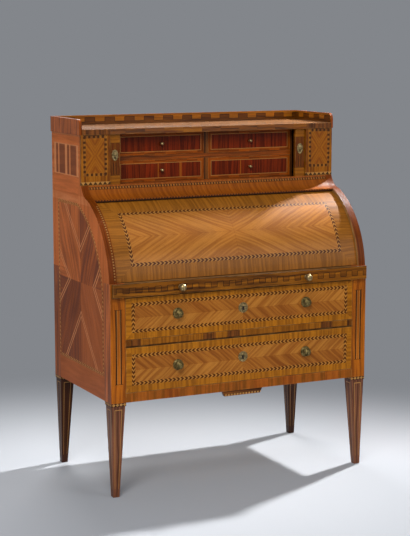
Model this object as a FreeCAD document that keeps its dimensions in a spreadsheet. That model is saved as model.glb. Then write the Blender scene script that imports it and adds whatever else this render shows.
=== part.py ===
"""A cylinder desk: a case with two long drawers and a writing slide on tapered legs,
a quarter round fall above it, and an upper stage with small drawers behind tambour shutters.

Millimetres. X runs to the right, Y to the back and Z up. The origin is on the floor,
under the middle of the whole desk.
"""
import FreeCAD, Part
import math
import os
import Sketcher

Vector = FreeCAD.Vector
Rotation = FreeCAD.Rotation
Placement = FreeCAD.Placement

SIZES = {
    # Case
    "case_width": 1000,
    "case_depth": 530,
    "post_size": 55,
    "side_thick": 27,
    "back_thick": 12,
    "board_thick": 16,
    "bottom_rail_height": 32,
    "lower_front_height": 158,
    "divider_height": 25,
    "upper_front_height": 145,
    "guide_height": 40,
    "arris": 0.8,
    "run_gap": 0.3,
    # Legs, their collars and the drop under the front rail
    "leg_height": 330,
    "leg_top": 51.6,
    "leg_foot": 22.5,
    "leg_inset": 1.7,
    "foot_inset": 9,
    "tenon_radius": 14,
    "tenon_length": 40,
    "tenon_gap": 0.1,
    "collar_height": 11,
    "collar_thick": 1.6,
    "collar_gap": 0.1,
    "apron_width": 156,
    "apron_height": 18,
    "apron_slope": 8,
    "apron_thick": 14,
    "apron_setback": 2,
    # Long drawers
    "front_thick": 20,
    "front_gap": 0.8,
    "front_head_gap": 2.4,
    "drawer_side": 12,
    "drawer_back": 10,
    "drawer_bottom": 7,
    "drawer_bottom_rise": 8,
    "drawer_play": 1,
    "drawer_rear_gap": 28,
    "drawer_headroom": 23,
    "pull_spacing": 502,
    "lower_pull_rise": 82,
    "upper_pull_rise": 78,
    "lower_lock_rise": 87,
    "upper_lock_rise": 78,
    "pull_radius": 19,
    "pull_knob_radius": 14.5,
    "pull_length": 24,
    "pull_rose": 3,
    "pull_rose_edge": 1.5,
    "pull_neck": 7,
    "pull_shoulder": 4,
    "pull_dome": 8,
    "stud_radius": 2.5,
    "stud_gap": 0.1,
    "nut_radius": 6,
    "nut_thick": 5,
    "plate_radius": 18.5,
    "plate_thick": 1.5,
    "keyhole_radius": 3,
    "lock_width": 64,
    "lock_height": 48,
    "lock_thick": 11,
    # Writing slide
    "slide_gap": 2,
    "slide_front_height": 46,
    "slide_front_thick": 12.5,
    "slide_front_inset": 5,
    "slide_front_gap": 0.5,
    "slide_thick": 21,
    "slide_drop": 1,
    "slide_play": 1.5,
    "slide_rear_gap": 13,
    "bearer_lap": 18,
    "bearer_width": 30,
    "leather_thick": 1.5,
    "leather_margin": 42,
    "leather_start": 34,
    "leather_depth": 245,
    "leather_gap": 0.1,
    "slide_knob_spacing": 492,
    "slide_knob_radius": 13,
    "slide_knob_neck": 5,
    "slide_knob_neck_length": 1,
    "slide_knob_flange": 9,
    "slide_knob_collar": 3,
    "slide_stud_length": 10,
    # Cylinder fall, its cheeks, arms and pins
    "cheek_radius": 316,
    "cheek_setback": 6,
    "axis_drop": 27,
    "fall_recess": 11,
    "fall_thick": 18,
    "fall_angle": 64.5,
    "fall_gap": 2,
    "fall_side_gap": 1,
    "fall_clearance": 3,
    "arm_thick": 4,
    "arm_gap": 2,
    "arm_start_angle": 18,
    "arm_angle": 36,
    "hub_radius": 16,
    "pin_radius": 5,
    "pin_gap": 0.05,
    "pin_cover": 7,
    "pin_head_radius": 8,
    "pin_head_thick": 3,
    # Upper stage, its top and gallery
    "stage_front": 251,
    "cavetto_depth": 56,
    "cavetto_radius": 66,
    "floor_thick": 21,
    "lip_height": 6,
    "stage_height": 174,
    "panel_thick": 8,
    "panel_width": 110,
    "top_thick": 20,
    "top_overhang": 4,
    "gallery_height": 34,
    "gallery_thick": 10,
    "gallery_proud": 4,
    "gallery_corner": 20,
    # Small drawers and the cells that hold them
    "cell_setback": 42,
    "pocket_width": 118,
    "wall_thick": 8,
    "cell_divider": 15,
    "cell_shelf": 15,
    "lower_cell_height": 79,
    "small_gap": 0.6,
    "small_front": 12,
    "small_side": 8,
    "small_bottom": 5,
    "small_bottom_rise": 4,
    "small_headroom": 5,
    "small_rear_gap": 28,
    "small_knob_radius": 6.5,
    "small_knob_neck": 2.5,
    "small_knob_neck_length": 1,
    "small_knob_flange": 4.5,
    "small_knob_collar": 1.5,
    "small_stud_radius": 2,
    "small_stud_length": 9,
    # Tambour shutters
    "stile_width": 38,
    "stile_thick": 12,
    "stile_gap": 2,
    "stile_setback": 0.5,
    "lock_plate_width": 25,
    "lock_plate_straight": 22,
    "lock_plate_rise": 14,
    "lock_plate_bow": 13,
    "slat_pitch": 14,
    "slat_width": 12,
    "slat_thick": 6.3,
    "canvas_thick": 0.7,
    "track_depth": 5,
    "track_play": 1,
    "track_turn": 24,
    "track_side_gap": 11,
    "track_back_gap": 13,
    "track_tail": 47,
    # Pigeonhole case behind the fall
    "fitment_side_gap": 15,
    "fitment_front": 300,
    "fitment_height": 167,
    "fitment_board": 10,
    "fitment_upright": 8,
    "fitment_bay": 290,
    "fitment_cell": 96,
    "fitment_drawer_height": 54,
    "fitment_drawer_setback": 2,
    "fitment_drawer_front": 10,
    "fitment_drawer_side": 7,
    "fitment_drawer_bottom": 5,
    "fitment_drawer_bottom_rise": 4,
    "fitment_drawer_headroom": 6,
    "fitment_rear_gap": 18,
    "fitment_knob_radius": 6.5,
    "fitment_knob_neck": 2.5,
    "fitment_knob_neck_length": 1,
}


class Size:
    """A length or angle: its number, and its formula in cells of the sheet."""

    def __init__(self, value, text):
        self.value = value
        self.text = text

    def __add__(self, other):
        return Size(self.value + number(other), f"({self.text} + {formula(other)})")

    def __radd__(self, other):
        return Size(number(other) + self.value, f"({formula(other)} + {self.text})")

    def __sub__(self, other):
        return Size(self.value - number(other), f"({self.text} - {formula(other)})")

    def __rsub__(self, other):
        return Size(number(other) - self.value, f"({formula(other)} - {self.text})")

    def __mul__(self, other):
        return Size(self.value * number(other), f"({self.text} * {formula(other)})")

    def __rmul__(self, other):
        return Size(number(other) * self.value, f"({formula(other)} * {self.text})")

    def __truediv__(self, other):
        return Size(self.value / number(other), f"({self.text} / {formula(other)})")

    def __neg__(self):
        return Size(-self.value, f"(0 - {self.text})")


def number(size):
    return size.value if isinstance(size, Size) else float(size)


def formula(size):
    return size.text if isinstance(size, Size) else str(size)


def root(size):
    return Size(math.sqrt(size.value), f"sqrt({size.text})")


def sine(angle):
    return Size(math.sin(math.radians(angle.value)), f"sin({angle.text})")


def cosine(angle):
    return Size(math.cos(math.radians(angle.value)), f"cos({angle.text})")


def arcsine(ratio):
    return Size(math.degrees(math.asin(ratio.value)), f"(asin({ratio.text}) / (1 deg))")


class Sheet:
    """The named sizes, each in a cell of the document's spreadsheet."""

    def __init__(self, document, sizes):
        cells = document.addObject("Spreadsheet::Sheet", "sizes")
        for row, (name, value) in enumerate(sizes.items(), start=1):
            cells.set(f"A{row}", name)
            cells.set(f"B{row}", str(value))
            cells.setAlias(f"B{row}", name)
            setattr(self, name, Size(float(value), f"sizes.{name}"))


doc = FreeCAD.newDocument("cylinder_desk")
s = Sheet(doc, SIZES)
doc.recompute()
pieces = []

AXES = {
    "x": Rotation(Vector(0, 1, 0), 90),
    "y": Rotation(Vector(1, 0, 0), -90),
    "z": Rotation(),
}
FORWARD = Rotation(Vector(0, 0, 1), -90)
SIDES = {"left": -1, "right": 1}

# Levels and planes that the pieces share. Depths are counted from the front of the case.
half = s.case_width / 2
inside = half - s.side_thick
opening = half - s.post_size
base = s.leg_height
lower_level = base + s.bottom_rail_height
divider_level = lower_level + s.lower_front_height
upper_level = divider_level + s.divider_height
rail_level = upper_level + s.upper_front_height
slide_level = rail_level + s.slide_gap
shoulder = slide_level + s.slide_front_height
slide_top = shoulder - s.slide_drop
slide_under = slide_top - s.slide_thick
back_inner = s.case_depth - s.back_thick
post_rear = s.case_depth - s.post_size
slide_proud = s.slide_front_gap + s.slide_front_thick
slide_knob_rise = root(s.slide_knob_radius * s.slide_knob_radius - s.slide_knob_neck * s.slide_knob_neck)
slide_knob_length = s.slide_knob_collar + s.slide_knob_neck_length + slide_knob_rise + s.slide_knob_radius
front = (slide_proud + slide_knob_length - s.case_depth) / 2

axis_z = shoulder - s.axis_drop
axis_y = s.cheek_setback + root(s.cheek_radius * s.cheek_radius - s.axis_drop * s.axis_drop)
pin_depth = s.side_thick - s.pin_cover
fall_outer = s.cheek_radius - s.fall_recess
fall_inner = fall_outer - s.fall_thick
sweep = fall_outer + s.fall_clearance
cheek_end_y = s.stage_front - s.cavetto_depth
stage_under = axis_z + sweep
stage_floor = stage_under + s.floor_thick
stage_base = stage_floor + s.lip_height
stage_top = stage_base + s.stage_height
panel_rear = s.stage_front + s.panel_thick
cell_front = s.stage_front + s.cell_setback
cell_half = inside - s.pocket_width - s.wall_thick
shelf_level = stage_base + s.lower_cell_height
upper_cell = shelf_level + s.cell_shelf
gallery_outer = half + s.gallery_proud
gallery_inner = gallery_outer - s.gallery_thick


def bind(thing, path, size):
    thing.setExpression(path, formula(size))


def place(thing, x, y, z):
    """Y is counted from the front of the case."""
    bind(thing, "Placement.Base.x", x)
    bind(thing, "Placement.Base.y", front + y)
    bind(thing, "Placement.Base.z", z)


def keep(thing):
    pieces.append(thing)
    return thing


def board(label, x, y, z, arris=None):
    """A board between two X, two Y and two Z, with its edges eased by arris."""
    box = doc.addObject("Part::Box", label if arris is None else label + "_blank")
    bind(box, "Length", x[1] - x[0])
    bind(box, "Width", y[1] - y[0])
    bind(box, "Height", z[1] - z[0])
    place(box, x[0], y[0], z[0])
    if arris is None:
        return box
    return eased(label, box, arris)


def eased(label, blank, radius):
    doc.recompute()
    piece = doc.addObject("Part::Fillet", label)
    piece.Base = blank
    count = len(blank.Shape.Edges)
    piece.Edges = [(edge, radius.value, radius.value) for edge in range(1, count + 1)]
    return piece


def spread(reach):
    """Two X, the same distance from the middle."""
    return (-reach, reach)


def flank(side, inner, outer):
    """Two X of a board that lies between two distances from the middle."""
    return (inner, outer) if side > 0 else (-outer, -inner)


def rod(label, axis, radius, length, x, y, z):
    round_bar = doc.addObject("Part::Cylinder", label)
    bind(round_bar, "Radius", radius)
    bind(round_bar, "Height", length)
    round_bar.Placement = Placement(Vector(), AXES[axis])
    place(round_bar, x, y, z)
    return round_bar


def group(label, things):
    bundle = doc.addObject("Part::Compound", label)
    bundle.Links = things
    return bundle


def fused(label, things):
    whole = doc.addObject("Part::MultiFuse", label)
    whole.Shapes = things
    return whole


def cut(label, blank, tools):
    piece = doc.addObject("Part::Cut", label)
    piece.Base = blank
    piece.Tool = tools[0] if len(tools) == 1 else group(label + "_tools", tools)
    return piece


def hold(sketch, kind, edge, end, size):
    """Fixes one coordinate of an edge's end, counted from the sketch's origin."""
    if number(size) == 0:
        axis = -2 if kind == "DistanceX" else -1
        sketch.addConstraint(Sketcher.Constraint("PointOnObject", edge, end, axis))
        return
    spot = sketch.addConstraint(Sketcher.Constraint(kind, -1, 1, edge, end, number(size)))
    bind(sketch, f"Constraints[{spot}]", size)


def bend(start, finish, radius, turn):
    """An arc from start to finish. A turn of 1 goes anticlockwise, and -1 clockwise."""
    chord = finish - start
    rise = math.sqrt(radius ** 2 - chord.Length ** 2 / 4)
    left = Vector(-chord.y, chord.x, 0).normalize()
    centre = (start + finish) * 0.5 + left * rise * turn
    circle = Part.Circle(centre, Vector(0, 0, 1), radius)
    ends = (start, finish) if turn > 0 else (finish, start)
    angles = [math.atan2(end.y - centre.y, end.x - centre.x) for end in ends]
    return Part.ArcOfCircle(circle, angles[0], angles[1])


def profile(body, plane, points, bends):
    """A closed outline through points. bends gives an edge's (radius, turn) where it is an arc."""
    sketch = body.newObject("Sketcher::SketchObject", body.Name + "_sketch")
    support = next(item for item in body.Origin.OriginFeatures if item.Role == plane)
    sketch.AttachmentSupport = (support, [""])
    sketch.MapMode = "FlatFace"
    spots = [Vector(number(u), number(v), 0) for u, v in points]
    count = len(spots)
    ends = []
    for edge in range(count):
        start = spots[edge]
        finish = spots[(edge + 1) % count]
        if edge in bends:
            radius, turn = bends[edge]
            sketch.addGeometry(bend(start, finish, number(radius), turn))
            ends.append((1, 2) if turn > 0 else (2, 1))
        else:
            sketch.addGeometry(Part.LineSegment(start, finish))
            ends.append((1, 2))
    for edge, (u, v) in enumerate(points):
        before = (edge - 1) % count
        start = ends[edge][0]
        sketch.addConstraint(Sketcher.Constraint("Coincident", before, ends[before][1], edge, start))
        hold(sketch, "DistanceX", edge, start, u)
        hold(sketch, "DistanceY", edge, start, v)
    for edge, (radius, turn) in bends.items():
        spot = sketch.addConstraint(Sketcher.Constraint("Radius", edge, number(radius)))
        bind(sketch, f"Constraints[{spot}]", radius)
    return sketch


def shaped(label, plane, points, bends, thickness, x, y, z):
    """A board of any outline. It grows to +X from a side view, and to the front from a front view."""
    body = doc.addObject("PartDesign::Body", label)
    pad = body.newObject("PartDesign::Pad", label + "_pad")
    pad.Profile = profile(body, plane, points, bends)
    bind(pad, "Length", thickness)
    body.Tip = pad
    place(body, x, y, z)
    return body


def turned(label, points, bends, x, y, z):
    """A round piece that points to the front. Points are (distance from its inner end, radius)."""
    body = doc.addObject("PartDesign::Body", label)
    spin = body.newObject("PartDesign::Revolution", label + "_turning")
    sketch = profile(body, "XY_Plane", points, bends)
    spin.Profile = sketch
    spin.ReferenceAxis = (sketch, ["H_Axis"])
    body.Tip = spin
    body.Placement = Placement(Vector(), FORWARD)
    place(body, x, y, z)
    return body


def ball_knob(label, stud, stud_radius, flange, collar, neck, neck_length, ball, x, y, z):
    """A ball on a neck and a flange, with a stud behind the flange. y is the face that it sits on."""
    neck_end = stud + collar + neck_length
    rise = root(ball * ball - neck * neck)
    points = [
        (0, 0),
        (0, stud_radius),
        (stud, stud_radius),
        (stud, flange),
        (stud + collar, flange),
        (stud + collar, neck),
        (neck_end, neck),
        (neck_end + rise + ball, 0),
    ]
    return turned(label, points, {6: (ball, -1)}, x, y + stud, z)


def make_legs():
    corner = s.leg_inset + s.leg_top / 2
    collars = []
    for depth_name, rear in {"front": 0, "rear": 1}.items():
        for side_name, side in SIDES.items():
            label = f"leg_{depth_name}_{side_name}"
            top_x = flank(side, half - s.leg_inset - s.leg_top, half - s.leg_inset)
            foot_x = flank(side, half - s.foot_inset - s.leg_foot, half - s.foot_inset)
            top_y = (s.leg_inset, s.leg_inset + s.leg_top)
            foot_y = (s.foot_inset, s.foot_inset + s.leg_foot)
            centre_y = corner
            if rear:
                top_y = (s.case_depth - top_y[1], s.case_depth - top_y[0])
                foot_y = (s.case_depth - foot_y[1], s.case_depth - foot_y[0])
                centre_y = s.case_depth - corner
            taper = doc.addObject("Part::Wedge", label + "_taper")
            bind(taper, "Ymin", 0)
            bind(taper, "Ymax", s.leg_height)
            bind(taper, "Xmin", foot_x[0])
            bind(taper, "Xmax", foot_x[1])
            bind(taper, "X2min", top_x[0])
            bind(taper, "X2max", top_x[1])
            bind(taper, "Zmin", -foot_y[1])
            bind(taper, "Zmax", -foot_y[0])
            bind(taper, "Z2min", -top_y[1])
            bind(taper, "Z2max", -top_y[0])
            taper.Placement = Placement(Vector(), Rotation(Vector(1, 0, 0), 90))
            place(taper, 0, 0, 0)
            tenon = rod(label + "_tenon", "z", s.tenon_radius, s.tenon_length,
                        (half - corner) * side, centre_y, base)
            keep(fused(label, [eased(label + "_eased", taper, s.arris), tenon]))
            collars.append(make_collar(label, top_x, top_y))
    keep(group("leg_collars", collars))


def make_collar(label, x, y):
    """A thin square band round the head of a leg."""
    z = (base - s.collar_height, base)
    hole = s.collar_gap
    rim = s.collar_gap + s.collar_thick
    outer = board(label + "_band", (x[0] - rim, x[1] + rim), (y[0] - rim, y[1] + rim), z)
    inner = board(label + "_band_hole", (x[0] - hole, x[1] + hole), (y[0] - hole, y[1] + hole), z)
    return cut(label + "_collar", outer, [inner])


def make_posts():
    corner = s.leg_inset + s.leg_top / 2
    rear_posts = []
    for depth_name, y in {"front": (0, s.post_size), "rear": (post_rear, s.case_depth)}.items():
        for side_name, side in SIDES.items():
            label = f"{depth_name}_post_{side_name}"
            centre_y = corner if depth_name == "front" else s.case_depth - corner
            blank = board(label + "_blank", flank(side, opening, half), y, (base, shoulder))
            socket = rod(label + "_socket", "z", s.tenon_radius + s.tenon_gap,
                         s.tenon_length + s.run_gap, (half - corner) * side, centre_y, base)
            post = cut(label, blank, [socket])
            if depth_name == "front":
                keep(post)
            else:
                rear_posts.append(post)
    keep(group("rear_posts", rear_posts))


def make_case():
    between_posts = (s.post_size, post_rear)
    rails_y = (0, s.post_size)
    keep(board("bottom_rail", spread(opening), rails_y, (base, lower_level)))
    keep(board("divider_rail", spread(opening), rails_y, (divider_level, upper_level)))
    keep(board("rear_rail", spread(opening), (post_rear, back_inner), (base, lower_level)))
    keep(board("bottom_board", spread(inside), between_posts, (lower_level - s.board_thick, lower_level)))
    keep(board("dust_board", spread(inside), between_posts, (upper_level - s.board_thick, upper_level)))
    guides = []
    for level_name, level in {"lower": lower_level, "upper": upper_level}.items():
        for side_name, side in SIDES.items():
            guides.append(board(f"{level_name}_guide_{side_name}", flank(side, opening, inside),
                                between_posts, (level, level + s.guide_height)))
    keep(group("drawer_guides", guides))
    width = s.apron_width
    points = [
        (0, s.apron_height),
        (s.apron_slope, 0),
        (width - s.apron_slope, 0),
        (width, s.apron_height),
    ]
    keep(shaped("apron_drop", "XZ_Plane", points, {}, s.apron_thick,
                -width / 2, s.apron_setback + s.apron_thick, base - s.apron_height))
    points = [
        (inside - opening, base),
        (inside + opening, base),
        (inside + opening, shoulder),
        (inside * 2, shoulder),
        (inside * 2, stage_top),
        (0, stage_top),
        (0, shoulder),
        (inside - opening, shoulder),
    ]
    keep(shaped("back_panel", "XZ_Plane", points, {}, s.back_thick, -inside, s.case_depth, 0))


def on_circle(radius, y):
    """The height of a circle about the fall's axis, above a depth in front of the axis."""
    away = axis_y - y
    return axis_z + root(radius * radius - away * away)


def make_sides():
    cheek_end_z = on_circle(s.cheek_radius, cheek_end_y)
    points = [
        (s.post_size, base),
        (post_rear, base),
        (post_rear, shoulder),
        (s.case_depth, shoulder),
        (s.case_depth, stage_top),
        (panel_rear, stage_top),
        (panel_rear, stage_base),
        (s.stage_front, stage_base),
        (cheek_end_y, cheek_end_z),
        (s.cheek_setback, shoulder),
        (s.post_size, shoulder),
    ]
    bends = {7: (s.cavetto_radius, -1), 8: (s.cheek_radius, 1)}
    for side_name, side in SIDES.items():
        label = f"side_panel_{side_name}"
        blank = shaped(label + "_blank", "YZ_Plane", points, bends, s.side_thick,
                       flank(side, inside, half)[0], 0, 0)
        hole_x = flank(side, inside, inside + pin_depth)[0]
        hole = rod(label + "_pin_hole", "x", s.pin_radius + s.pin_gap, pin_depth,
                   hole_x, axis_y, axis_z)
        keep(cut(label, blank, [hole]))


def ring_point(radius, angle):
    """A point of the fall's section. Angles rise from the front of the desk."""
    return (axis_y - radius * cosine(angle), axis_z + radius * sine(angle))


def make_fall():
    start = arcsine((s.axis_drop + s.fall_gap) / fall_outer)
    end = start + s.fall_angle
    points = [
        ring_point(fall_outer, start),
        ring_point(fall_outer, end),
        ring_point(fall_inner, end),
        ring_point(fall_inner, start),
    ]
    bends = {0: (fall_outer, -1), 2: (fall_inner, 1)}
    reach = inside - s.fall_side_gap
    keep(shaped("cylinder_fall", "YZ_Plane", points, bends, reach * 2, -reach, 0, 0))
    arms = []
    pins = []
    arm_outer = inside - s.arm_gap
    arm_inner = arm_outer - s.arm_thick
    hub = [
        (axis_y - s.hub_radius, axis_z),
        ring_point(fall_inner, s.arm_start_angle),
        ring_point(fall_inner, s.arm_start_angle + s.arm_angle),
        (axis_y, axis_z + s.hub_radius),
        (axis_y, axis_z),
    ]
    for side_name, side in SIDES.items():
        label = f"fall_arm_{side_name}"
        x = flank(side, arm_inner, arm_outer)[0]
        plate = shaped(label + "_plate", "YZ_Plane", hub, {1: (fall_inner, -1)}, s.arm_thick, x, 0, 0)
        boss = rod(label + "_boss", "x", s.hub_radius, s.arm_thick, x, axis_y, axis_z)
        bore = rod(label + "_bore", "x", s.pin_radius + s.pin_gap, s.arm_thick, x, axis_y, axis_z)
        arms.append(cut(label, fused(label + "_blank", [plate, boss]), [bore]))
        head_outer = arm_inner - s.run_gap
        head_inner = head_outer - s.pin_head_thick
        label = f"fall_pin_{side_name}"
        shank = rod(label + "_shank", "x", s.pin_radius, inside + pin_depth - head_outer,
                    flank(side, head_outer, inside + pin_depth)[0], axis_y, axis_z)
        head = rod(label + "_head", "x", s.pin_head_radius, s.pin_head_thick,
                   flank(side, head_inner, head_outer)[0], axis_y, axis_z)
        pins.append(fused(label, [shank, head]))
    keep(group("fall_arms", arms))
    keep(group("fall_pivot_pins", pins))


def make_slide():
    bearer_z = (rail_level, slide_under - s.run_gap)
    bearer_inner = opening - s.bearer_lap
    carriers = [board("slide_rail", spread(opening), (0, s.post_size), bearer_z)]
    for side_name, side in SIDES.items():
        carriers.append(board(f"slide_bearer_{side_name}",
                              flank(side, bearer_inner, bearer_inner + s.bearer_width),
                              (s.post_size, post_rear), bearer_z))
    keep(group("slide_bearers", carriers))
    seam = -s.slide_front_gap
    reach = opening - s.slide_play
    blank = board("slide_panel_blank", spread(reach), (seam, back_inner - s.slide_rear_gap),
                  (slide_under, slide_top))
    leather_x = reach - s.leather_margin
    leather_y = (s.leather_start, s.leather_start + s.leather_depth)
    gap = s.leather_gap
    well = board("leather_well", spread(leather_x + gap), (leather_y[0] - gap, leather_y[1] + gap),
                 (slide_top - s.leather_thick, slide_top))
    keep(cut("slide_panel", blank, [well]))
    keep(board("slide_leather", spread(leather_x), leather_y, (slide_top - s.leather_thick, slide_top)))
    strip = board("slide_front_blank", spread(half - s.slide_front_inset), (-slide_proud, seam),
                  (slide_level, shoulder), s.arris)
    knobs = []
    holes = []
    knob_z = slide_level + s.slide_front_height / 2
    for side_name, side in SIDES.items():
        x = s.slide_knob_spacing / 2 * side
        label = f"slide_knob_{side_name}"
        knobs.append(ball_knob(label, s.slide_stud_length, s.stud_radius, s.slide_knob_flange,
                               s.slide_knob_collar, s.slide_knob_neck, s.slide_knob_neck_length,
                               s.slide_knob_radius, x, -slide_proud, knob_z))
        holes.append(rod(label + "_hole", "y", s.stud_radius + s.stud_gap, s.slide_stud_length + s.run_gap,
                         x, -slide_proud, knob_z))
    keep(cut("slide_front", strip, holes))
    keep(group("slide_knobs", knobs))


def drawer_box(label, x, y, floor, height, side, rear, bottom, rise):
    """Two sides, a back and a bottom between two X, from the front's rear face to the box's end."""
    bottom_z = (floor + rise, floor + rise + bottom)
    inner = (x[0] + side, x[1] - side)
    return [
        board(label + "_side_left", (x[0], inner[0]), y, (floor, floor + height)),
        board(label + "_side_right", (inner[1], x[1]), y, (floor, floor + height)),
        board(label + "_back", inner, (y[1] - rear, y[1]), (floor, floor + height)),
        board(label + "_bottom", inner, (y[0], y[1] - rear), bottom_z),
    ]


def drawer_pull(label, x, z):
    """A domed knob on a round rose. Its stud goes through the front to a nut inside."""
    stud = s.front_thick + s.nut_thick
    rose = stud + s.pull_rose
    dome = stud + s.pull_length - s.pull_dome
    points = [
        (0, 0),
        (0, s.stud_radius),
        (stud, s.stud_radius),
        (stud, s.pull_radius),
        (stud + s.pull_rose_edge, s.pull_radius),
        (rose, s.pull_knob_radius),
        (rose, s.pull_neck),
        (dome - s.pull_shoulder, s.pull_neck),
        (dome, s.pull_knob_radius),
        (stud + s.pull_length, 0),
    ]
    bow = (s.pull_knob_radius * s.pull_knob_radius + s.pull_dome * s.pull_dome) / (s.pull_dome * 2)
    knob = turned(label, points, {8: (bow, -1)}, x, stud, z)
    nut = rod(label + "_nut_blank", "y", s.nut_radius, s.nut_thick, x, s.front_thick, z)
    thread = rod(label + "_nut_thread", "y", s.stud_radius + s.stud_gap, s.nut_thick, x, s.front_thick, z)
    return [knob, cut(label + "_nut", nut, [thread])]


def make_long_drawer(name, level, height, pull_rise, lock_rise):
    z = (level + s.front_gap, level + height - s.front_head_gap)
    blank = board(f"{name}_front_blank", spread(opening - s.front_gap), (0, s.front_thick), z, s.arris)
    pull_z = level + pull_rise
    lock_z = level + lock_rise
    pulls = []
    holes = [rod(f"{name}_keyway", "y", s.keyhole_radius, s.front_thick, 0, 0, lock_z)]
    for side_name, side in SIDES.items():
        x = s.pull_spacing / 2 * side
        pulls += drawer_pull(f"{name}_pull_{side_name}", x, pull_z)
        holes.append(rod(f"{name}_stud_hole_{side_name}", "y", s.stud_radius + s.stud_gap,
                         s.front_thick, x, 0, pull_z))
    keep(cut(f"{name}_front", blank, holes))
    keep(group(f"{name}_pulls", pulls))
    reach = opening - s.drawer_play
    keep(group(f"{name}_box", drawer_box(
        name, spread(reach), (s.front_thick, back_inner - s.drawer_rear_gap), level + s.run_gap,
        height - s.drawer_headroom, s.drawer_side, s.drawer_back, s.drawer_bottom,
        s.drawer_bottom_rise)))
    plate = rod(f"{name}_plate_blank", "y", s.plate_radius, s.plate_thick, 0, -s.plate_thick, lock_z)
    keyhole = rod(f"{name}_keyhole", "y", s.keyhole_radius, s.plate_thick, 0, -s.plate_thick, lock_z)
    case_y = (s.front_thick, s.front_thick + s.lock_thick)
    lock_top = lock_z + s.lock_height / 2
    lock_case = board(f"{name}_lock_case", spread(s.lock_width / 2), case_y,
                      (lock_top - s.lock_height, lock_top))
    keep(group(f"{name}_lock", [cut(f"{name}_keyhole_plate", plate, [keyhole]), lock_case]))


def make_stage():
    points = [
        (cheek_end_y, on_circle(sweep, cheek_end_y)),
        (panel_rear, on_circle(sweep, panel_rear)),
        (panel_rear, stage_base),
        (s.stage_front, stage_base),
        (cheek_end_y, on_circle(s.cheek_radius, cheek_end_y)),
    ]
    bends = {0: (sweep, -1), 3: (s.cavetto_radius, -1)}
    keep(shaped("cavetto_moulding", "YZ_Plane", points, bends, inside * 2, -inside, 0, 0))
    walls = []
    for side_name, side in SIDES.items():
        keep(board(f"outer_panel_{side_name}", flank(side, half - s.panel_width, half),
                   (s.stage_front, panel_rear), (stage_base, stage_top)))
        walls.append(board(f"pocket_wall_{side_name}", flank(side, cell_half, cell_half + s.wall_thick),
                           (cell_front, back_inner), (stage_floor, stage_top)))
    keep(group("pocket_walls", walls))
    cell_y = (cell_front, back_inner)
    keep(group("drawer_shelf", [
        board("cell_floor", spread(cell_half), cell_y, (stage_floor, stage_base)),
        board("cell_shelf", spread(cell_half), cell_y, (shelf_level, upper_cell)),
    ]))
    keep(group("centre_dividers", [
        board("lower_divider", spread(s.cell_divider / 2), cell_y, (stage_base, shelf_level)),
        board("upper_divider", spread(s.cell_divider / 2), cell_y, (upper_cell, stage_top)),
    ]))
    blank = board("stage_floor_blank", spread(inside), (panel_rear, back_inner), (stage_under, stage_floor))
    keep(cut("stage_floor", blank, tracks("floor_track", stage_floor - s.track_depth)))
    blank = board("top_board_blank", spread(gallery_inner),
                  (s.stage_front - s.top_overhang, s.case_depth - s.gallery_thick),
                  (stage_top, stage_top + s.top_thick), s.arris)
    keep(cut("top_board", blank, tracks("top_track", stage_top)))
    make_gallery()


def make_gallery():
    height = s.top_thick + s.gallery_height
    length = s.case_depth - s.gallery_thick - s.stage_front
    points = [
        (0, 0),
        (length, 0),
        (length, height),
        (s.gallery_corner, height),
        (0, height - s.gallery_corner),
    ]
    rails = []
    for side_name, side in SIDES.items():
        rails.append(shaped(f"gallery_{side_name}", "YZ_Plane", points, {3: (s.gallery_corner, 1)},
                            s.gallery_thick, flank(side, gallery_inner, gallery_outer)[0],
                            s.stage_front, stage_top))
    rails.append(board("gallery_back", spread(gallery_outer),
                       (s.case_depth - s.gallery_thick, s.case_depth), (stage_top, stage_top + height)))
    keep(group("gallery", rails))


# The tambours' route: behind the outer panel, round a corner, along the side and round to the back.
track_half = (s.slat_thick + s.canvas_thick) / 2
stile_outer = half - s.panel_width - s.stile_gap
stile_front = panel_rear + s.stile_setback
track_y = stile_front + s.stile_thick / 2
track_x = inside - s.track_side_gap
track_back = back_inner - s.track_back_gap


def route(start_x, offset):
    """Edges of the right-hand route from start_x, moved outwards by offset."""
    x = number(track_x)
    y = number(front + track_y)
    rear = number(front + track_back)
    turn = number(s.track_turn)
    reach = turn + offset
    tail = x - turn - number(s.track_tail)
    diagonal = reach * math.sqrt(0.5)
    first = Vector(x - turn, y + turn, 0)
    second = Vector(x - turn, rear - turn, 0)
    corners = [
        Vector(start_x, y - offset, 0),
        first + Vector(0, -reach, 0),
        first + Vector(reach, 0, 0),
        second + Vector(reach, 0, 0),
        second + Vector(0, reach, 0),
        Vector(tail, rear + offset, 0),
    ]
    return [
        Part.LineSegment(corners[0], corners[1]).toShape(),
        Part.Arc(corners[1], first + Vector(diagonal, -diagonal, 0), corners[2]).toShape(),
        Part.LineSegment(corners[2], corners[3]).toShape(),
        Part.Arc(corners[3], second + Vector(diagonal, diagonal, 0), corners[4]).toShape(),
        Part.LineSegment(corners[4], corners[5]).toShape(),
    ]


def strip(start_x, outer, inner, height):
    """A solid that follows the right-hand route between two offsets."""
    outside = route(start_x, outer)
    within = route(start_x, inner)
    head = Part.makeLine(outside[0].Vertexes[0].Point, within[0].Vertexes[0].Point)
    tail = Part.makeLine(outside[-1].Vertexes[-1].Point, within[-1].Vertexes[-1].Point)
    ring = Part.Wire(Part.__sortEdges__(outside + [tail] + within + [head]))
    return Part.Face(ring).extrude(Vector(0, 0, height))


def to_side(shape, side):
    return shape if side > 0 else shape.mirror(Vector(), Vector(1, 0, 0))


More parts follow.
